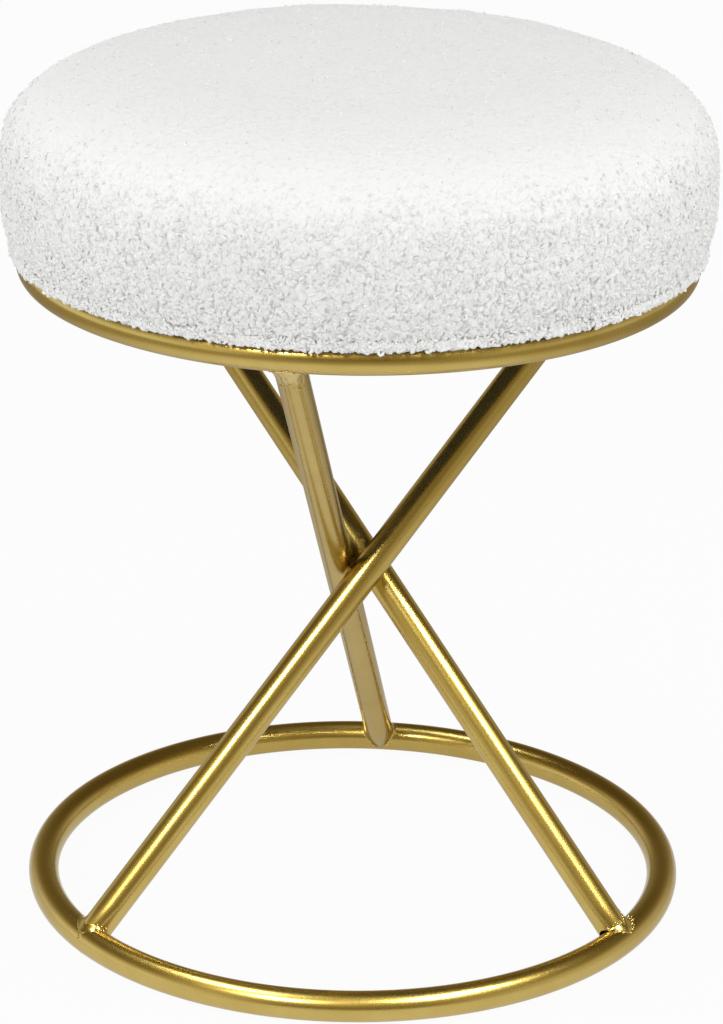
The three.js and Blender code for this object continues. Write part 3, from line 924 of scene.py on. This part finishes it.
def tab_piece():
    """One flat tab with a round end and its screw hole, along +X."""
    sizes = stool().frame
    half = (TAB_HIGH.y - TAB_LOW.y) / 2
    level = (TAB_LOW.z + TAB_HIGH.z) / 2 - sizes.top_level
    root = sizes.ring / 2 - math.sqrt((sizes.tube / 2) ** 2 - level ** 2) + 0.3 * MM
    steps = 48
    outer, inner = [], []
    for j in range(steps):
        turn = (j + 0.5) * FULL_TURN / steps
        way = Vector((math.cos(turn), math.sin(turn)))
        reach = half if way.x <= 0 else min((root - SCREW_X) / way.x, half / max(abs(way.y), 1e-6))
        outer.append((SCREW_X + reach * way.x, reach * way.y))
        inner.append((SCREW_X + SCREW_HOLE * way.x, SCREW_HOLE * way.y))
    places = [(x, y, z) for z in (TAB_LOW.z, TAB_HIGH.z) for x, y in outer + inner]
    rows = [range(i * steps, (i + 1) * steps) for i in range(4)]
    faces = []
    for low, high in ((0, 1), (3, 2), (2, 0), (1, 3)):
        faces += band(rows[low], rows[high])
    return bevelled(outward(piece_from("seat_tabs", places, faces)), 0.35 * MM, 35)


def tab_bead(metal):
    """Bead under a tab, in the corner against the top ring, along +X."""
    _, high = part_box("tab_weld_1")
    rng = np.random.default_rng(41)
    drops = []
    for y in np.linspace(-8.6, 8.6, 15) * MM:
        size = 1.9 * MM * (1 + rng.uniform(-0.14, 0.14))
        drops.append(((high.x - 1.6 * MM, y, high.z - 1.1 * MM), size, rng.uniform(0.9, 1.15, 3)))
    return melted("tab_beads", drops, 0.45 * MM, metal)


def screw_piece():
    """Button-head screw with a hexagon socket, head down, along +X."""
    head, flat, shank, socket = (SCREW_HIGH.x - SCREW_LOW.x) / 2, 2.6 * MM, 2.9 * MM, 2.05 * MM
    low, bearing, top = SCREW_LOW.z, WASHER_LOW.z - 0.3 * MM, SCREW_HIGH.z
    thread, pitch = 0.35 * MM, 1.0 * MM
    socket_rows = ((0.0, 2.0), (1.0, 2.0), (1.0, 0.25), (1.06, 0.0))
    outline = [(socket * share, low + z * MM) for share, z in socket_rows]
    for i in range(9):
        turn = i / 8 * math.pi / 2
        drop = (bearing - low) * math.sqrt(max(0.0, math.cos(turn)))
        outline.append((flat + (head - flat) * math.sin(turn), bearing - drop))
    outline.append((shank + 0.4 * MM, bearing))
    z = bearing
    while z < top - 1.2 * MM:
        outline += [(shank, z + 0.1 * MM), (shank - thread, z + 0.5 * MM)]
        z += pitch
    outline += [(shank - 2 * thread, top), (0.0, top)]
    return outward(piece_from("seat_screws", *turned(outline, 48, SCREW_X, len(socket_rows))))


def washer_piece():
    """Flat washer with broken edges, along +X."""
    rim = (WASHER_HIGH.x - WASHER_LOW.x) / 2
    low, high, hole, edge = WASHER_LOW.z, WASHER_HIGH.z, SCREW_HOLE, 0.25 * MM
    outline = [
        (hole, low + edge), (hole + edge, low), (rim - edge, low), (rim, low + edge),
        (rim, high - edge), (rim - edge, high), (hole + edge, high), (hole, high - edge), (hole, low + edge),
    ]
    return outward(piece_from("washers", *turned(outline, 48, SCREW_X)))


class STOOL_OT_tabs(bpy.types.Operator):
    """Builds the seat tabs and their weld beads"""

    bl_idname = "stool.tabs"
    bl_label = "Seat tabs"

    def execute(self, context):
        repeated(tab_piece(), TABS, get_finish("satin_gold_lacquer"), "frame", *numbered("seat_tab"))
        metal = get_finish("gold_over_weld")
        repeated(tab_bead(metal), TABS, metal, "weld", *numbered("tab_weld"))
        return {"FINISHED"}


class STOOL_OT_fasteners(bpy.types.Operator):
    """Builds the seat screws and washers, and plates the insert nuts"""

    bl_idname = "stool.fasteners"
    bl_label = "Fasteners"

    def execute(self, context):
        zinc = get_finish("bright_zinc")
        repeated(screw_piece(), TABS, zinc, "fastener", *numbered("seat_screw"))
        repeated(washer_piece(), TABS, zinc, "fastener", *numbered("washer"))
        for name in numbered("insert_nut"):
            dress(name, zinc)
        return {"FINISHED"}


# Cushion


def cover_outline(swell, room):
    """Outside of the cushion from the middle of its underside to the crown, before it is filled.

    The filling lifts the crown by the swell, pushes the side out a little and rounds the shoulder,
    so the shoulder starts fuller. The room for the pile is left everywhere.
    """
    foot, widest = COVER_FOOT - room, COVER_HIGH.x - room - 0.17 * swell
    low, crown = COVER_LOW.z, COVER_HIGH.z - room - swell
    edge, widest_z = 3 * MM, low + 27 * MM
    outline = [(0, low), (foot * 0.5, low), (foot - 12 * MM, low)]
    for i in range(6):
        turn = i / 5 * math.pi / 2
        outline.append((foot - edge * (1 - math.sin(turn)), low + edge * (1 - math.cos(turn))))
    for i in range(1, 12):
        rise, width = i / 12, widest - foot
        outline.append((widest - width * (1 - rise) ** 3, low + edge + (widest_z - low - edge) * rise))
    for i in range(40):
        turn = (i / 40) ** 1.6 * math.pi / 2
        reach, rise = math.cos(turn) ** (2 / 2.75), math.sin(turn) ** (2 / 4.75)
        outline.append((widest * reach, widest_z + (crown - widest_z) * rise))
    outline.append((0, crown))
    return outline


def filled_cover(sizes):
    """Cover that is filled by cloth simulation, with its hem held on the board."""
    places, faces = turned(cover_outline(sizes.swell, sizes.pile * 0.6), 160)
    piece = outward(piece_from("seat_cushion", places, faces))
    baked(modified(piece, "REMESH", mode="VOXEL", voxel_size=sizes.voxel))
    blow_up(piece, sizes)
    rest = read_points(piece)
    rise = np.clip((rest[:, 2] - COVER_LOW.z - 2 * MM) / (16 * MM), 0, 1)
    uneven = 0.45 * waves(rest, 0.085, 51) + 0.22 * waves(rest, 0.03, 52)
    move_out(piece, rest, rise * uneven * MM)
    return piece


def blow_up(piece, sizes):
    """Fills the cover like a pad. The hem is pinned, foam holds the rest softly, pressure pushes it out."""
    frames = 20
    rest = read_points(piece)
    hem = rest[:, 2] < COVER_LOW.z + 1.5 * MM
    held = piece.vertex_groups.new(name="held")
    for part, weight in ((hem, 1.0), (~hem, 0.1)):
        held.add([int(i) for i in np.nonzero(part)[0]], weight, "REPLACE")
    cloth = piece.modifiers.new("filling", "CLOTH")
    settings = cloth.settings
    settings.use_pressure = True
    settings.uniform_pressure_force = 8
    settings.vertex_group_mass = held.name
    settings.effector_weights.gravity = 0
    settings.quality = 4
    settings.tension_stiffness = settings.compression_stiffness = 1
    settings.shear_stiffness = 0.33
    cloth.point_cache.frame_start, cloth.point_cache.frame_end = 1, frames
    scene = bpy.context.scene
    for number in range(1, frames + 1):
        scene.frame_set(number)
    graph = bpy.context.evaluated_depsgraph_get()
    shift = read_points(piece.evaluated_get(graph)) - rest
    piece.modifiers.clear()
    scene.frame_set(1)
    far = np.maximum(np.linalg.norm(shift, axis=1), 1e-9)
    move_points(piece, rest + shift * np.minimum(1, 1.5 * sizes.swell / far)[:, None])


def pile_tree():
    """Raises nubs of looped yarn from the cover's skin and keeps their height and standing share, from which
    the finish paints shade in the hollows.
    """
    maker, geometry, given = geometry_tree("looped_pile", Height="Float", Nub="Float", Foot="Float")
    place = maker.add("GeometryNodeInputPosition").outputs[0]
    normal = maker.add("GeometryNodeInputNormal").outputs[0]
    bent = maker.bent(place, 300, 0.005)
    layers = []
    for share, finer in ((0.7, 1.0), (0.4, 1.8)):
        edges = maker.cells(bent, maker.math("DIVIDE", finer, given["Nub"]), "DISTANCE_TO_EDGE")
        layers.append(maker.spread(edges, 0.0, 0.26, 0.0, share, smooth=True))
    fine = maker.graded(maker.noise(place, 900, 2, 0.6), -0.15, 0.15)
    rise = maker.plus(maker.plus(*layers), fine)
    above = maker.minus(maker.split(place)[2], given["Foot"])
    shown = maker.spread(above, 0.0002, 0.003, smooth=True)
    shorter = maker.spread(above, 0.012, 0.06, 1.0, 0.72)
    # The standing share also sets the strength of the finish's painted shade: least on the top, most low on
    # the side.
    standing = maker.times(maker.spread(maker.split(normal)[2], 0.0, 0.85, 1.0, 0.3), shorter)
    tall = maker.times(given["Height"], standing)
    lift = maker.scaled(normal, maker.times(maker.minus(rise, 0.35), maker.times(shown, tall)))
    slide = maker.scaled(maker.sway(place, 520, 1), maker.times(shown, maker.times(tall, 1.2)))
    kept = maker.keep(maker.keep(geometry, "pile", rise), "standing", standing)
    shift = maker.vector("ADD", lift, slide)
    raised = maker.add("GeometryNodeSetPosition", {"Geometry": kept, "Offset": shift})
    return end_tree(maker, raised, get_finish("looped_pile"))


def hem_roll(sizes):
    """Roll of the cover that bulges over the top ring's outer edge, with its own pile."""
    level, sides = COVER_LOW.z + 0.4 * MM, 14
    turns = [(k % sides) * FULL_TURN / sides - math.pi for k in range(sides + 1)]
    outline = [(HEM_RADIUS + 1.5 * MM * math.cos(t), level + 2.3 * MM * math.sin(t)) for t in turns]
    piece = outward(piece_from("hem_roll", *turned(outline, 1300)))
    rest = read_points(piece)
    move_out(piece, rest, (0.4 * waves(rest, 0.024, 53) + 0.35 * waves(rest, 0.009, 54)) * MM)
    return run_tree(
        piece, pile_tree(), Height=sizes.pile * 0.9, Nub=sizes.nub * 0.85, Foot=COVER_LOW.z - 10 * MM)


class STOOL_OT_cushion(bpy.types.Operator):
    """Fills the cover by cloth simulation, raises its looped pile and rolls its hem"""

    bl_idname = "stool.cushion"
    bl_label = "Cushion"

    def execute(self, context):
        sizes = stool().seat
        piece = filled_cover(sizes)
        baked(modified(piece, "SUBSURF", levels=1, render_levels=1))
        piece.data.copy().name = "cover_skin"
        baked(modified(piece, "SUBSURF", levels=1, render_levels=1))
        run_tree(piece, pile_tree(), Height=sizes.pile, Nub=sizes.nub, Foot=COVER_LOW.z)
        place_on_stool(piece, "boucle", "seat_cover", "foam_pad", "wadding")
        place_on_stool(hem_roll(sizes), "boucle")
        return {"FINISHED"}


# Loops of yarn


def yarn_loop(kind, size, thick, rng):
    """One loop of yarn, from root to tip: its points, its faces and how far along each point is."""
    shares = np.linspace(0, 1, 6)
    half_turn = shares * math.pi
    swell = np.sin(half_turn)
    line = np.stack({
        "arch": (np.cos(half_turn) * 0.5, shares * 0.3 - 0.15, swell * 0.5 - 0.12),
        "hook": (np.cos(half_turn * 1.5) * 0.42, np.sin(half_turn * 1.5) * 0.42, 0.3 * swell - 0.05),
        "crimp": (shares * 1.2 - 0.6, np.sin(half_turn * 2) * 0.3, 0.36 * swell - 0.1),
        "coil": (np.cos(half_turn * 1.9) * 0.38, np.sin(half_turn * 1.9) * 0.38, shares * 0.42 - 0.1),
    }[kind], axis=1)
    line = line * size + rng.normal(0, 0.05, line.shape) * size
    return (*sweep(line, thick * (0.85 + 0.3 * swell), 4), shares)


def loop_shapes(sizes):
    """Loops of yarn in a collection of their own, for the trees that scatter them."""
    shapes = bpy.data.collections.new("yarn_loops")
    rng = np.random.default_rng(61)
    for number, kind in enumerate(("arch", "hook", "crimp", "coil", "arch", "hook")):
        places, faces, shares = yarn_loop(kind, sizes.loop, 0.34 * sizes.loop, rng)
        mesh = bpy.data.meshes.new(f"loop_{number}")
        mesh.from_pydata([tuple(p) for p in places], [], faces)
        # Painted shade: the pile values are lower at each loop's ends, so the finish paints its roots darker
        # than its tip.
        heights = np.repeat(0.3 + 0.4 * np.sin(shares * math.pi), 4).astype(np.float32)
        mesh.attributes.new("pile", "FLOAT", "POINT").data.foreach_set("value", heights)
        shapes.objects.link(bpy.data.objects.new(mesh.name, mesh))
    return shapes


def scatter_loops(maker, points, normal, shapes, tilt, seed):
    """Loops at points, stood up on the skin, each turned, tipped and sized by chance, smaller on the top."""
    upward = maker.split(normal)[2]
    spin = maker.chance("FLOAT_VECTOR", (-tilt, -tilt, 0), (tilt, tilt, FULL_TURN), maker.plus(seed, 1))
    stand = maker.add("FunctionNodeAlignRotationToVector", {"Vector": normal}, axis="Z")
    turned_by = {"Rotation": stand, "Rotate By": spin}
    size = maker.chance("FLOAT", 0.65, 1.2, maker.plus(seed, 2))
    pool = {"Collection": shapes, "Separate Children": True, "Reset Children": True}
    # The standing value kept on the points sets how much painted shade the finish puts on each loop: less on
    # the top.
    return maker.add("GeometryNodeInstanceOnPoints", {
        "Points": maker.keep(points, "standing", maker.spread(upward, 0.1, 0.85, 0.6, 0.15)),
        "Instance": maker.add("GeometryNodeCollectionInfo", pool),
        "Pick Instance": True,
        "Instance Index": maker.chance("INT", 0, 5, seed),
        "Rotation": maker.add("FunctionNodeRotateRotation", turned_by, rotation_space="LOCAL"),
        "Scale": maker.times(size, maker.spread(upward, 0.3, 0.9, 1.0, 0.56)),
    })


def carpet_tree(shapes):
    """Loops over a quarter of the cushion's skin, apart by a least distance, thinner on its top."""
    maker, geometry, given = geometry_tree(
        "loops_on_skin", Spacing="Float", Foot="Float", Seed="Int", From="Float", To="Float")
    x, y, z = maker.split(maker.add("GeometryNodeInputPosition").outputs[0])
    upward = maker.split(maker.add("GeometryNodeInputNormal").outputs[0])[2]
    turn = maker.math("ARCTAN2", y, x)
    after = maker.math("GREATER_THAN", turn, given["From"])
    before = maker.math("LESS_THAN", turn, given["To"])
    high = maker.math("GREATER_THAN", z, given["Foot"])
    spots = maker.add("GeometryNodeDistributePointsOnFaces", {
        "Mesh": geometry,
        "Selection": maker.times(maker.times(high, after), before),
        "Distance Min": given["Spacing"],
        "Density Max": 190000.0,
        "Density Factor": maker.spread(upward, 0.1, 0.85, 1.0, 0.14),
        "Seed": given["Seed"],
    }, distribute_method="POISSON").outputs
    loops = scatter_loops(maker, spots["Points"], spots["Normal"], shapes, 0.5, given["Seed"])
    return end_tree(maker, loops, get_finish("looped_pile"))


def fringe_tree(shapes):
    """Loops at the points of a mesh, along its stored directions."""
    maker, geometry, given = geometry_tree("loops_on_edge", Seed="Int")
    way = maker.add("GeometryNodeInputNamedAttribute", {"Name": "way"}, data_type="FLOAT_VECTOR").outputs[0]
    points = maker.add("GeometryNodeMeshToPoints", {"Mesh": geometry})
    loops = scatter_loops(maker, points, way, shapes, 0.75, given["Seed"])
    return end_tree(maker, loops, get_finish("looped_pile"))


def fringe_points(sizes):
    """Places and directions round the lower edge of the cover, ragged by chance."""
    rng = np.random.default_rng(71)
    places, ways = [], []
    for i in range(sizes.fringe):
        turn = (i + rng.uniform(-0.5, 0.5)) * FULL_TURN / sizes.fringe
        drop = rng.uniform(-1.5, 3.9) * MM
        places.append(on_circle(FRINGE_RADIUS + rng.uniform(-0.6, 0.5) * MM, turn, COVER_LOW.z + drop))
        dip = rng.uniform(-1.1, -0.1) if drop < 1.2 * MM else rng.uniform(-0.5, 0.5)
        ways.append(on_circle(math.cos(dip), turn + rng.uniform(-0.5, 0.5), math.sin(dip)))
    return places, ways


class STOOL_OT_loops(bpy.types.Operator):
    """Scatters loops of yarn over the cushion and along its lower edge"""

    bl_idname = "stool.loops"
    bl_label = "Loops"

    def execute(self, context):
        sizes = stool().seat
        skin = bpy.data.meshes["cover_skin"]
        shapes = loop_shapes(sizes)
        tree = carpet_tree(shapes)
        quarters = (("back_right", 0), ("back_left", 1), ("front_left", -2), ("front_right", -1))
        for number, (name, quarter) in enumerate(quarters):
            piece = linked(f"loops_{name}", skin.copy())
            run_tree(
                piece, tree, Spacing=sizes.loop_gap, Foot=COVER_LOW.z + 1.2 * MM, Seed=80 + number,
                From=quarter * math.pi / 2, To=(quarter + 1) * math.pi / 2)
            place_on_stool(piece, "boucle")
        places, ways = fringe_points(sizes)
        fringe = piece_from("edge_fringe", places, [])
        kept = fringe.data.attributes.new("way", "FLOAT_VECTOR", "POINT")
        kept.data.foreach_set("vector", np.array(ways, np.float32).ravel())
        place_on_stool(run_tree(fringe, fringe_tree(shapes), Seed=90), "boucle")
        for shape in list(shapes.objects):
            bpy.data.objects.remove(shape)
        bpy.data.collections.remove(shapes)
        return {"FINISHED"}


# Board and dust cover


def dust_piece():
    """Thin cloth under the board, in the CAD model's own material, with faint puckers and its screw holes."""
    radius = DUST_HIGH.x
    rows, columns = 40, 176
    places = [(0, 0, DUST_LOW.z)]
    for i in range(1, rows + 1):
        reach = radius * (i / rows) ** 0.8
        edge = max(0.0, (reach / radius - 0.8) / 0.2)
        for j in range(columns):
            turn = j * FULL_TURN / columns
            pucker = 0.12 * edge * math.sin(turn * 44) + 0.1 * math.sin(turn * 3 + reach * 30)
            places.append(on_circle(reach, turn, DUST_LOW.z + (0.22 + pucker) * MM))
    faces = band([0] * columns, range(1, columns + 1))
    faces += [tuple(c + 1 for c in f) for f in grid_faces(rows, columns)]
    cloth = frame["nodes"]["dust_cover"].material_slots[0].material
    holes = [on_circle(SCREW_X, k * FULL_TURN / TABS, 0).xy for k in range(TABS)]
    piece = outward(
        piece_from("dust_cloth_disc", places, faces, cloth),
        lambda place: any((place.xy - hole).length < 3.6 * MM for hole in holes))
    return outward(baked(modified(piece, "SOLIDIFY", thickness=0.35 * MM, offset=0)))


def staple_piece():
    """Crown of one staple with its bent corners, across +X."""
    half, z = 5 * MM, DUST_LOW.z - 0.12 * MM
    corner = ((0.0, 1.4), (0.0, 0.5), (0.35, 0.08), (0.9, 0.0))
    line = [(STAPLE_RADIUS, -half + y * MM, z + rise * MM) for y, rise in corner]
    line += [(p[0], -p[1], p[2]) for p in reversed(line)]
    return outward(piece_from("staples", *sweep(line, 0.42 * MM, 4, math.pi / 4), smooth=False))


class STOOL_OT_underside(bpy.types.Operator):
    """Finishes the board and builds the dust cover with its staples"""

    bl_idname = "stool.underside"
    bl_label = "Underside"

    def execute(self, context):
        dress("seat_board", get_finish("raw_plywood"))
        place_on_stool(dust_piece(), "dust_cloth", "dust_cover")
        repeated(staple_piece(), stool().seat.staples, get_finish("bright_zinc"), "fastener")
        return {"FINISHED"}


# Stage


def warmer(maker, light):
    """A reflected light of this strength: white when full, browner the dimmer it is."""
    green, blue = maker.math("POWER", light, 1.17), maker.math("POWER", light, 1.65)
    return maker.add("ShaderNodeCombineXYZ", {0: light, 1: green, 2: blue})


def floor_material():
    """White floor that keeps a soft shadow. In reflections it is a pool of light round the stool."""
    made = bpy.data.materials.new("white_floor")
    made.use_nodes = True
    nodes = made.node_tree.nodes
    nodes.remove(nodes["Principled BSDF"])
    maker = Maker(made.node_tree)
    path = maker.add("ShaderNodeLightPath").outputs
    shiny = path["Is Glossy Ray"]
    ends = {0: maker.add("ShaderNodeTexCoord").outputs["Object"], 1: (-0.08, -0.35, 0)}
    away = maker.add("ShaderNodeVectorMath", ends, operation="DISTANCE").outputs["Value"]
    pool = maker.spread(away, 0.15, 0.95, 1.0, 0.42, smooth=True)
    seen = maker.math("MAXIMUM", path["Is Camera Ray"], path["Is Transmission Ray"])
    strength = maker.math("MAXIMUM", seen, maker.times(shiny, pool))
    share = maker.plus(maker.times(seen, 0.95), maker.times(shiny, 0.93), clamp=True)
    paper = maker.add("ShaderNodeBsdfDiffuse", {"Color": (0.66, 0.66, 0.66, 1)})
    glow = maker.add("ShaderNodeEmission", {"Color": warmer(maker, strength), "Strength": 1.0})
    mixed = maker.add("ShaderNodeMixShader", {0: share, 1: paper, 2: glow})
    maker.feed(mixed, nodes["Material Output"].inputs[0])
    return made


def make_world(scene):
    """White all round for the eye, a graded studio for reflections, an even light for the rest."""
    scene.world = bpy.data.worlds.new("studio")
    scene.world.use_nodes = True
    scene.world.node_tree.nodes.clear()
    maker = Maker(scene.world.node_tree)
    path = maker.add("ShaderNodeLightPath").outputs
    x, y, z = maker.split(maker.add("ShaderNodeTexCoord").outputs["Generated"])
    left_wall = maker.spread(x, -0.3, -0.95, 0.0, 0.74, smooth=True)
    right_wall = maker.spread(x, 0.3, 0.95, 0.0, 0.42, smooth=True)
    front_wall = maker.spread(y, -0.7, -1.0, 0.35, 0.18, smooth=True)
    walls = maker.plus(maker.plus(left_wall, right_wall), front_wall)
    ceiling = maker.spread(y, -0.6, 0.25, 0.36, 0.1, smooth=True)
    rise = maker.spread(z, 0.08, 0.62, smooth=True)
    room = maker.plus(maker.times(walls, maker.minus(1.0, rise)), maker.times(ceiling, rise))
    even = maker.mix(path["Is Glossy Ray"], (0.6, 0.6, 0.6), warmer(maker, room))
    seen = maker.math("MAXIMUM", path["Is Camera Ray"], path["Is Transmission Ray"])
    back = maker.add("ShaderNodeBackground", {"Color": maker.mix(seen, even, (1, 1, 1)), "Strength": 1.0})
    maker.feed(back, maker.add("ShaderNodeOutputWorld").inputs[0])


# Name, both ends by azimuth and height angle in degrees, width, watts, and what it lights:
# the shine that metal reflects, or the body of things.
SOFTBOXES = (
    ("left_box", ((-148, 62), (140, 64)), 0.44, 15, "shine"),
    ("left_front_box", ((-111, 38), (-127, 44)), 0.26, 15, "shine"),
    ("right_box", ((-65, 44), (-14, 57)), 0.46, 28, "shine"),
    ("left_light", ((-160, 64), (146, 70)), 0.9, 2.1, "body"),
    ("right_light", ((-46, 62), (-8, 70)), 0.9, 2.1, "body"),
    ("front_fill", ((-118, 9), (-62, 9)), 1.1, 6.7, "body"),
    ("left_fill", ((170, 14), (-140, 14)), 0.9, 5.9, "body"),
    ("right_fill", ((10, 14), (-40, 14)), 0.9, 5.9, "body"),
)


def on_sphere(azimuth, rise):
    azimuth, rise = math.radians(azimuth), math.radians(rise)
    return Vector((math.cos(azimuth) * math.cos(rise), math.sin(azimuth) * math.cos(rise), math.sin(rise)))


def softbox(name, ends, width, power, part):
    """Long softbox from one place to another, facing the stool."""
    aim = Vector((0, 0, 0.2))
    low, high = (aim + SOFTBOX_DISTANCE * on_sphere(*end) for end in ends)
    along = (high - low).normalized()
    middle = (low + high) / 2
    back = middle - aim
    back = (back - along * back.dot(along)).normalized()
    data = bpy.data.lights.new(name, "AREA")
    data.shape = "RECTANGLE"
    data.size, data.size_y = width, (high - low).length
    data.energy = power
    lamp = linked(name, data)
    turn = Matrix((along.cross(back), along, back)).transposed()
    lamp.matrix_world = Matrix.Translation(middle) @ turn.to_4x4()
    lamp.visible_glossy = part == "shine"
    lamp.visible_diffuse = part == "body"
    lamp.visible_camera = False


def make_camera(scene):
    """Camera at the photograph's angle, turned by a hair about its own axis."""
    lens, tilt, roll = 139.617, 0.364864, 0.010254
    target, distance = Vector((0.0028, 0, 0.21069)), 2.0836
    forward = Vector((0, math.cos(tilt), -math.sin(tilt)))
    right = Vector((1, 0, 0))
    up = right.cross(forward)
    x = right * math.cos(roll) + up * math.sin(roll)
    y = up * math.cos(roll) - right * math.sin(roll)
    turn = Matrix((x, y, -forward)).transposed()
    data = bpy.data.cameras.new("camera")
    data.lens = lens
    data.sensor_width = 36
    data.clip_end = 50
    scene.camera = linked("camera", data)
    scene.camera.matrix_world = Matrix.Translation(target - forward * distance) @ turn.to_4x4()


class STOOL_OT_stage(bpy.types.Operator):
    """Builds the floor, the light and the camera"""

    bl_idname = "stool.stage"
    bl_label = "Stage"

    def execute(self, context):
        scene = context.scene
        corners = [(x * FLOOR_HALF, y * FLOOR_HALF, 0) for x, y in ((-1, -1), (1, -1), (1, 1), (-1, 1))]
        floor = piece_from("floor", corners, [(0, 1, 2, 3)], floor_material())
        make_world(scene)
        for lamp in SOFTBOXES:
            softbox(*lamp)
        scene.view_settings.view_transform = "Standard"
        make_camera(scene)
        return {"FINISHED"}


# Add-on


class STOOL_PT_panel(bpy.types.Panel):
    """Lists the stool's pieces and settings."""

    bl_idname = "STOOL_PT_panel"
    bl_label = "Vanity stool"
    bl_space_type = "VIEW_3D"
    bl_region_type = "UI"
    bl_category = "Stool"

    def draw(self, context):
        settings = context.scene.stool
        for operator in OPERATORS:
            self.layout.operator(operator.bl_idname)
        for group in (settings.frame, settings.seat, settings.colours):
            box = self.layout.box()
            for name in group.__annotations__:
                box.prop(group, name)


OPERATORS = (
    STOOL_OT_rings,
    STOOL_OT_legs,
    STOOL_OT_leg_welds,
    STOOL_OT_waist_welds,
    STOOL_OT_tabs,
    STOOL_OT_fasteners,
    STOOL_OT_underside,
    STOOL_OT_cushion,
    STOOL_OT_loops,
    STOOL_OT_stage,
)
CLASSES = (STOOL_PG_frame, STOOL_PG_seat, STOOL_PG_colours, STOOL_PG_settings, *OPERATORS, STOOL_PT_panel)


def register():
    for each in CLASSES:
        bpy.utils.register_class(each)
    bpy.types.Scene.stool = PointerProperty(type=STOOL_PG_settings)


def unregister():
    del bpy.types.Scene.stool
    for each in reversed(CLASSES):
        bpy.utils.unregister_class(each)


def main():
    register()
    for operator in OPERATORS:
        group, name = operator.bl_idname.split(".")
        getattr(getattr(bpy.ops, group), name)()


if __name__ == "__main__":
    main()
